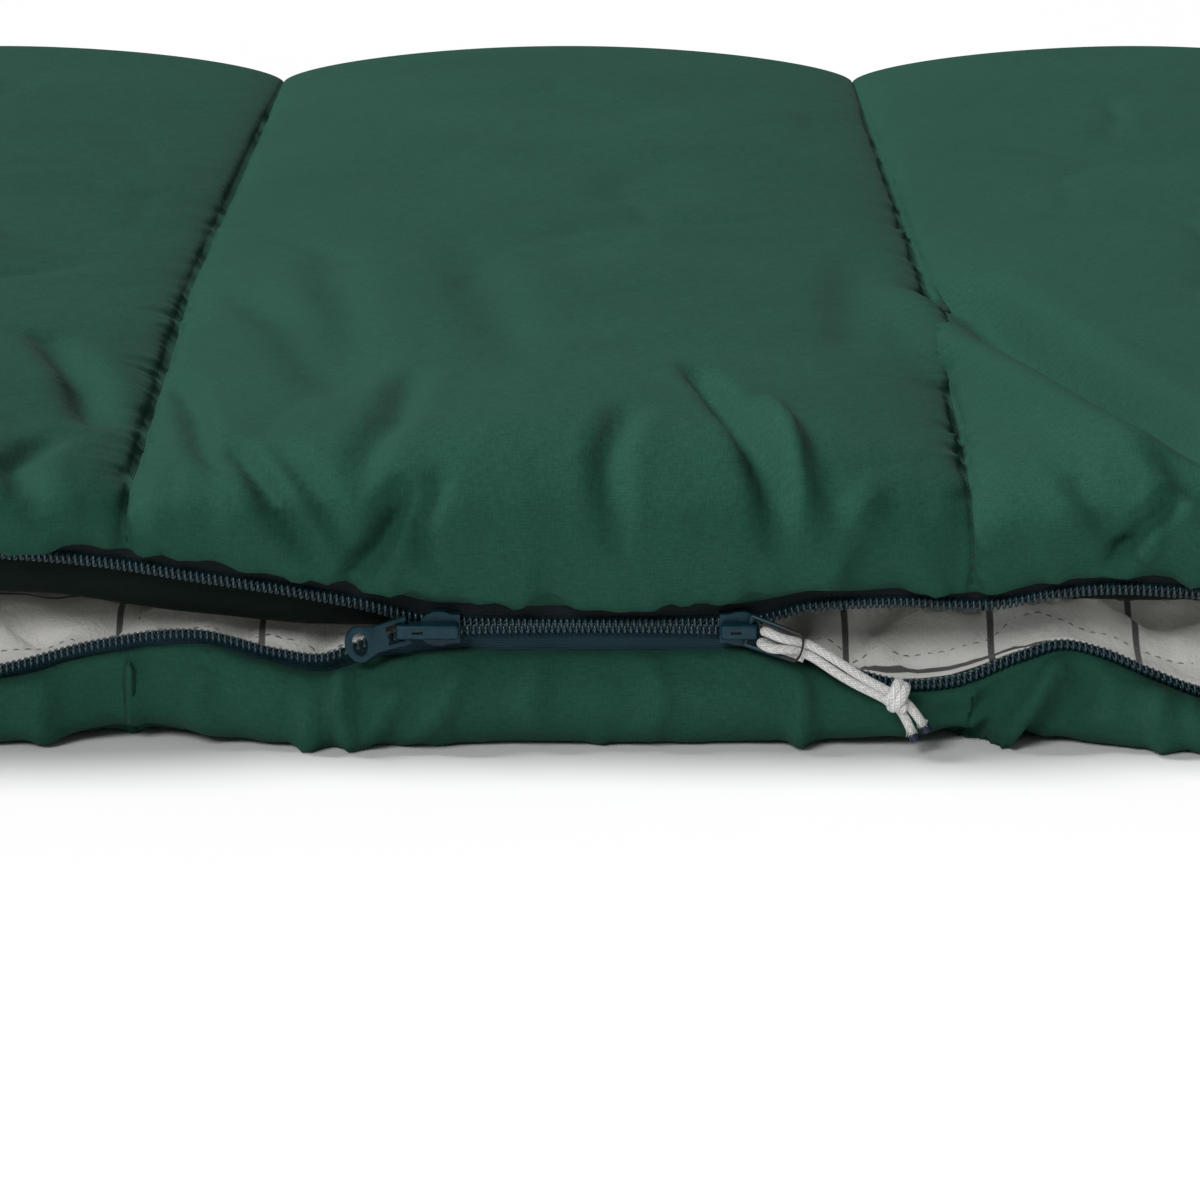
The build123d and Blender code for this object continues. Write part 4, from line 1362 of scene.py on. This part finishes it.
class BAG_OT_trims(bpy.types.Operator):
    """Draft tube, sewn side and hanging loops"""

    bl_idname = "bag.trims"
    bl_label = "Trims"

    def execute(self, context):
        fabric = shell_finish(context.scene)
        low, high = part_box("draft_tube")
        x = graded(low.x, high.x, 3.5 * MM, 14 * MM, FINE_FROM, FINE_TO)
        top_z = lip_height(x, 1) + 1.5 * MM
        low_edge = smooth_line(BAFFLE_EDGE)
        hang = top_z - low_edge(x) * MM + 0.7 * MM * soft_noise(x, x * 0, 30 * MM, 41)
        middle_y = (low.y + high.y) / 2 + 1.2 * MM * soft_noise(x, x * 0, 55 * MM, 42)
        sides = 14
        turn = 2 * np.pi * np.arange(sides) / sides
        map_radius = 5 * MM
        fat = (4.4 + 0.5 * soft_noise(x, x * 0, 25 * MM, 43)) * MM
        y = middle_y[:, None] + fat[:, None] * np.sin(turn)[None, :]
        z = (top_z - hang / 2)[:, None] + (hang / 2)[:, None] * np.cos(turn)[None, :]
        points = np.stack([np.broadcast_to(x[:, None], y.shape), y, z], 2)
        uv = np.stack([points[:, :, 0], np.broadcast_to(turn[None, :] * map_radius, y.shape)], 2)
        # Painted shade: the draft tube is of shell fabric, given a much darker copy of its colour for the
        # shade it hangs in under the top quilt.
        dark = shell_fabric("baffle_fabric_painted_shade", (0.0065, 0.0125, 0.0095))
        tube = swept_piece("draft_baffle", points, uv, dark)
        fit(tube, "top_quilt", "shell_fabric", "draft_tube")

        low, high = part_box("side_seam")
        x = np.arange(low.x, high.x, 9 * MM)
        bead_y, bead_z = (low.y + high.y) / 2, high.z - 1.6 * MM
        ripple = 0.35 * MM * np.sin(2 * np.pi * x / (17 * MM) + 3 * soft_noise(x, x * 0, 60 * MM, 51))
        outline = []
        for k in range(13):
            t = -math.pi / 2 + 0.28 + (2 * math.pi - 0.56) * k / 12
            outline.append((bead_y + 1.5 * MM * math.cos(t), bead_z + 1.5 * MM * math.sin(t)))
        for height in (0.66, 0.33, 0.0):
            outline.append((bead_y - 0.4 * MM, low.z + (bead_z - low.z) * height))
        for height in (0.0, 0.33, 0.66):
            outline.append((bead_y + 0.4 * MM, low.z + (bead_z - low.z) * height))
        outline = np.array(outline)
        y = outline[None, :, 0] + ripple[:, None] * 0.3
        z = np.broadcast_to(outline[None, :, 1], y.shape)
        points = np.stack([np.broadcast_to(x[:, None], y.shape), y, z], 2)
        seam = swept_piece("sewn_side", points, points[:, :, [0, 2]], fabric)
        fit(seam, "bottom_quilt", "shell_fabric", "side_seam")

        webbing = finish("webbing", webbing_fabric)
        for loop in ("hanging_loop_near", "hanging_loop_far"):
            strap = refined(loop, loop + "_strap", 0.3 * MM, webbing)
            fit(strap, "bottom_quilt", "webbing", loop)
        return {"FINISHED"}


def webbing_fabric():
    """Woven tape of the hanging loops."""
    p = Paint("webbing", Specular_IOR_Level=0.3)
    x = p.node("ShaderNodeSeparateXYZ", None, [p.place()], 0)
    y = p.node("ShaderNodeSeparateXYZ", None, [p.place()], 1)
    rib = ((y * (2 * math.pi / (1.1 * MM))).sin() + 1) * 0.5
    weft = ((x * (2 * math.pi / (1.4 * MM))).sin() + 1) * 0.5
    relief = rib * 0.6 + weft * 0.4
    p.drive("Base Color", p.mix(relief, (0.006, 0.008, 0.008), (0.02, 0.024, 0.024)))
    p.drive("Roughness", 0.68 + 0.14 * weft)
    p.bump(relief, 0.25 * MM, 0.8)
    return p.material


class BAG_OT_zip(bpy.types.Operator):
    """Both tapes and coils, the head stops and the pins at the foot"""

    bl_idname = "bag.zip"
    bl_label = "Zip"

    def execute(self, context):
        s = context.scene.bag_zip
        nylon = finish("zip_coil", coil_nylon, tuple(s.coil_colour))
        for half, up, body in (("lower", -1, "bottom_quilt"), ("upper", 1, "top_quilt")):
            # Painted shade: the upper tape is the same tape as the lower one, darkened to 0.22 of its colour
            # for the shade under the overhanging top quilt.
            colour = shade(s.tape_colour, 0.22) if up > 0 else tuple(s.tape_colour)
            tape = tape_piece(f"{half}_tape", up, tape_fabric(f"zip_tape_{half}", colour))
            fit(tape, body, "zip_tape", f"zip_tape_{half}")
            coil = coil_piece(f"{half}_coil", up, s, nylon)
            fit(coil, body, "zip_coil", f"zip_coil_{half}")
            for node in (f"head_stop_{half}", f"end_pin_{half}"):
                paint_node(node, nylon)
        return {"FINISHED"}


def ring_side(piece, low, high):
    """Select the points of a piece between two places along its local X, in edit mode."""
    only(piece)
    bpy.ops.object.mode_set(mode="EDIT")
    bpy.ops.mesh.select_mode(type="VERT")
    bpy.ops.mesh.select_all(action="DESELECT")
    bpy.ops.object.mode_set(mode="OBJECT")
    for vertex in piece.data.vertices:
        vertex.select = low < vertex.co.x < high
    bpy.ops.object.mode_set(mode="EDIT")


# The head pull's pivot from its slider's tail, and how far it leans out from the zip and droops.
HEAD_PIVOT = (8.6 * MM, -6.3 * MM, 0)
HEAD_PULL_LEAN, HEAD_PULL_DROOP = math.radians(24), math.radians(14)


def head_loop_piece(name, material):
    """The head pull: a wire ring drawn out to a narrower round end, with its hinge bar."""
    lean, droop = HEAD_PULL_LEAN, HEAD_PULL_DROOP
    along = Vector((math.cos(droop) * math.cos(lean), -math.sin(lean), -math.sin(droop) * math.cos(lean)))
    out = Vector((-math.cos(droop) * math.sin(lean), -math.cos(lean), math.sin(droop) * math.sin(lean)))
    side = out.cross(along)
    origin = Vector((HEAD_TAIL, ZIP_Y, ZIP_Z)) + Vector(HEAD_PIVOT)
    wire, half_width, length, far_round = 0.74 * MM, 4.5 * MM, 17.5 * MM, 0.36
    bpy.ops.mesh.primitive_torus_add(
        major_segments=64, minor_segments=14, major_radius=half_width, minor_radius=wire, location=(0, 0, 0)
    )
    ring = bpy.context.object
    ring_side(ring, 0.05 * MM, 1)
    bpy.ops.transform.resize(value=(far_round, 1, 1), center_override=(0, 0, 0))
    bpy.ops.transform.translate(value=(length - far_round * half_width, 0, 0))
    bpy.ops.transform.resize(value=(1, 0.9, 1), center_override=(length, 0, 0))
    ring_side(ring, -1, -0.05 * MM)
    bpy.ops.transform.resize(value=(0.22, 1, 1), center_override=(0, 0, 0))
    bpy.ops.object.mode_set(mode="OBJECT")
    bpy.ops.mesh.primitive_cylinder_add(
        vertices=16, radius=wire, depth=2 * half_width, location=(0, 0, 0), rotation=(math.pi / 2, 0, 0)
    )
    bar = bpy.context.object
    apply_modifier(bar, "BEVEL", width=0.2 * MM, segments=2, limit_method="ANGLE")
    only(ring)
    bar.select_set(True)
    bpy.context.view_layer.objects.active = ring
    bpy.ops.object.join()
    turn = Matrix((along, side, along.cross(side))).transposed()
    ring.matrix_world = Matrix.Translation(origin) @ turn.to_4x4()
    only(ring)
    bpy.ops.object.transform_apply(location=True, rotation=True, scale=True)
    bpy.ops.object.shade_smooth_by_angle(angle=math.radians(40))
    ring.name = ring.data.name = name
    ring.data.materials.clear()
    ring.data.materials.append(material)
    return ring


class BAG_OT_sliders(bpy.types.Operator):
    """Both sliders with their crowns, springs and pulls"""

    bl_idname = "bag.sliders"
    bl_label = "Sliders"

    def execute(self, context):
        s = context.scene.bag_zip
        paint = finish("slider_metal", slider_paint, tuple(s.paint_colour))
        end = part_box("head_pull_loop")[1].x
        dark_ended = finish("loop_paint", loop_paint, tuple(s.paint_colour), end)
        steel = finish("spring_steel", moulded, "spring_steel", (0.14, 0.15, 0.16), 0.3)
        for slider in ("foot_slider", "head_slider"):
            for part, bevel in (("body", 0.35 * MM), ("crown", 0.3 * MM)):
                piece = refined(f"{slider}_{part}", f"{slider}_cast_{part}", bevel, paint)
                fit(piece, slider, "slider_metal", f"{slider}_{part}")
            paint_node(f"{slider}_lock_spring", steel)
        tab = refined("foot_pull_tab", "foot_pull_stamping", 0.35 * MM, paint)
        fit(tab, "foot_pull", "slider_metal", "foot_pull_tab")
        loop = head_loop_piece("head_pull_wire", dark_ended)
        fit(loop, "head_pull", "slider_metal", "head_pull_loop")
        return {"FINISHED"}


OPERATORS = (
    BAG_OT_stage,
    BAG_OT_cord,
    BAG_OT_quilts,
    BAG_OT_linings,
    BAG_OT_trims,
    BAG_OT_zip,
    BAG_OT_sliders,
)


class BAG_PT_panel(bpy.types.Panel):
    """Lists the bag's pieces and their settings"""

    bl_idname = "BAG_PT_panel"
    bl_label = "Sleeping Bag"
    bl_space_type = "VIEW_3D"
    bl_region_type = "UI"
    bl_category = "Sleeping Bag"

    def draw(self, context):
        for group in (context.scene.bag_quilts, context.scene.bag_zip, context.scene.bag_stage):
            box = self.layout.box()
            for name in group.__annotations__:
                box.prop(group, name)
        for operator in OPERATORS:
            self.layout.operator(operator.bl_idname)


GROUPS = {"bag_quilts": QuiltSettings, "bag_zip": ZipSettings, "bag_stage": StageSettings}


def register():
    for kind in (*GROUPS.values(), *OPERATORS, BAG_PT_panel):
        bpy.utils.register_class(kind)
    for name, group in GROUPS.items():
        setattr(bpy.types.Scene, name, bpy.props.PointerProperty(type=group))


def unregister():
    for name in GROUPS:
        delattr(bpy.types.Scene, name)
    for kind in (BAG_PT_panel, *reversed(OPERATORS), *GROUPS.values()):
        bpy.utils.unregister_class(kind)


def main():
    register()
    for operator in OPERATORS:
        group, name = operator.bl_idname.split(".")
        getattr(getattr(bpy.ops, group), name)()


if __name__ == "__main__":
    main()
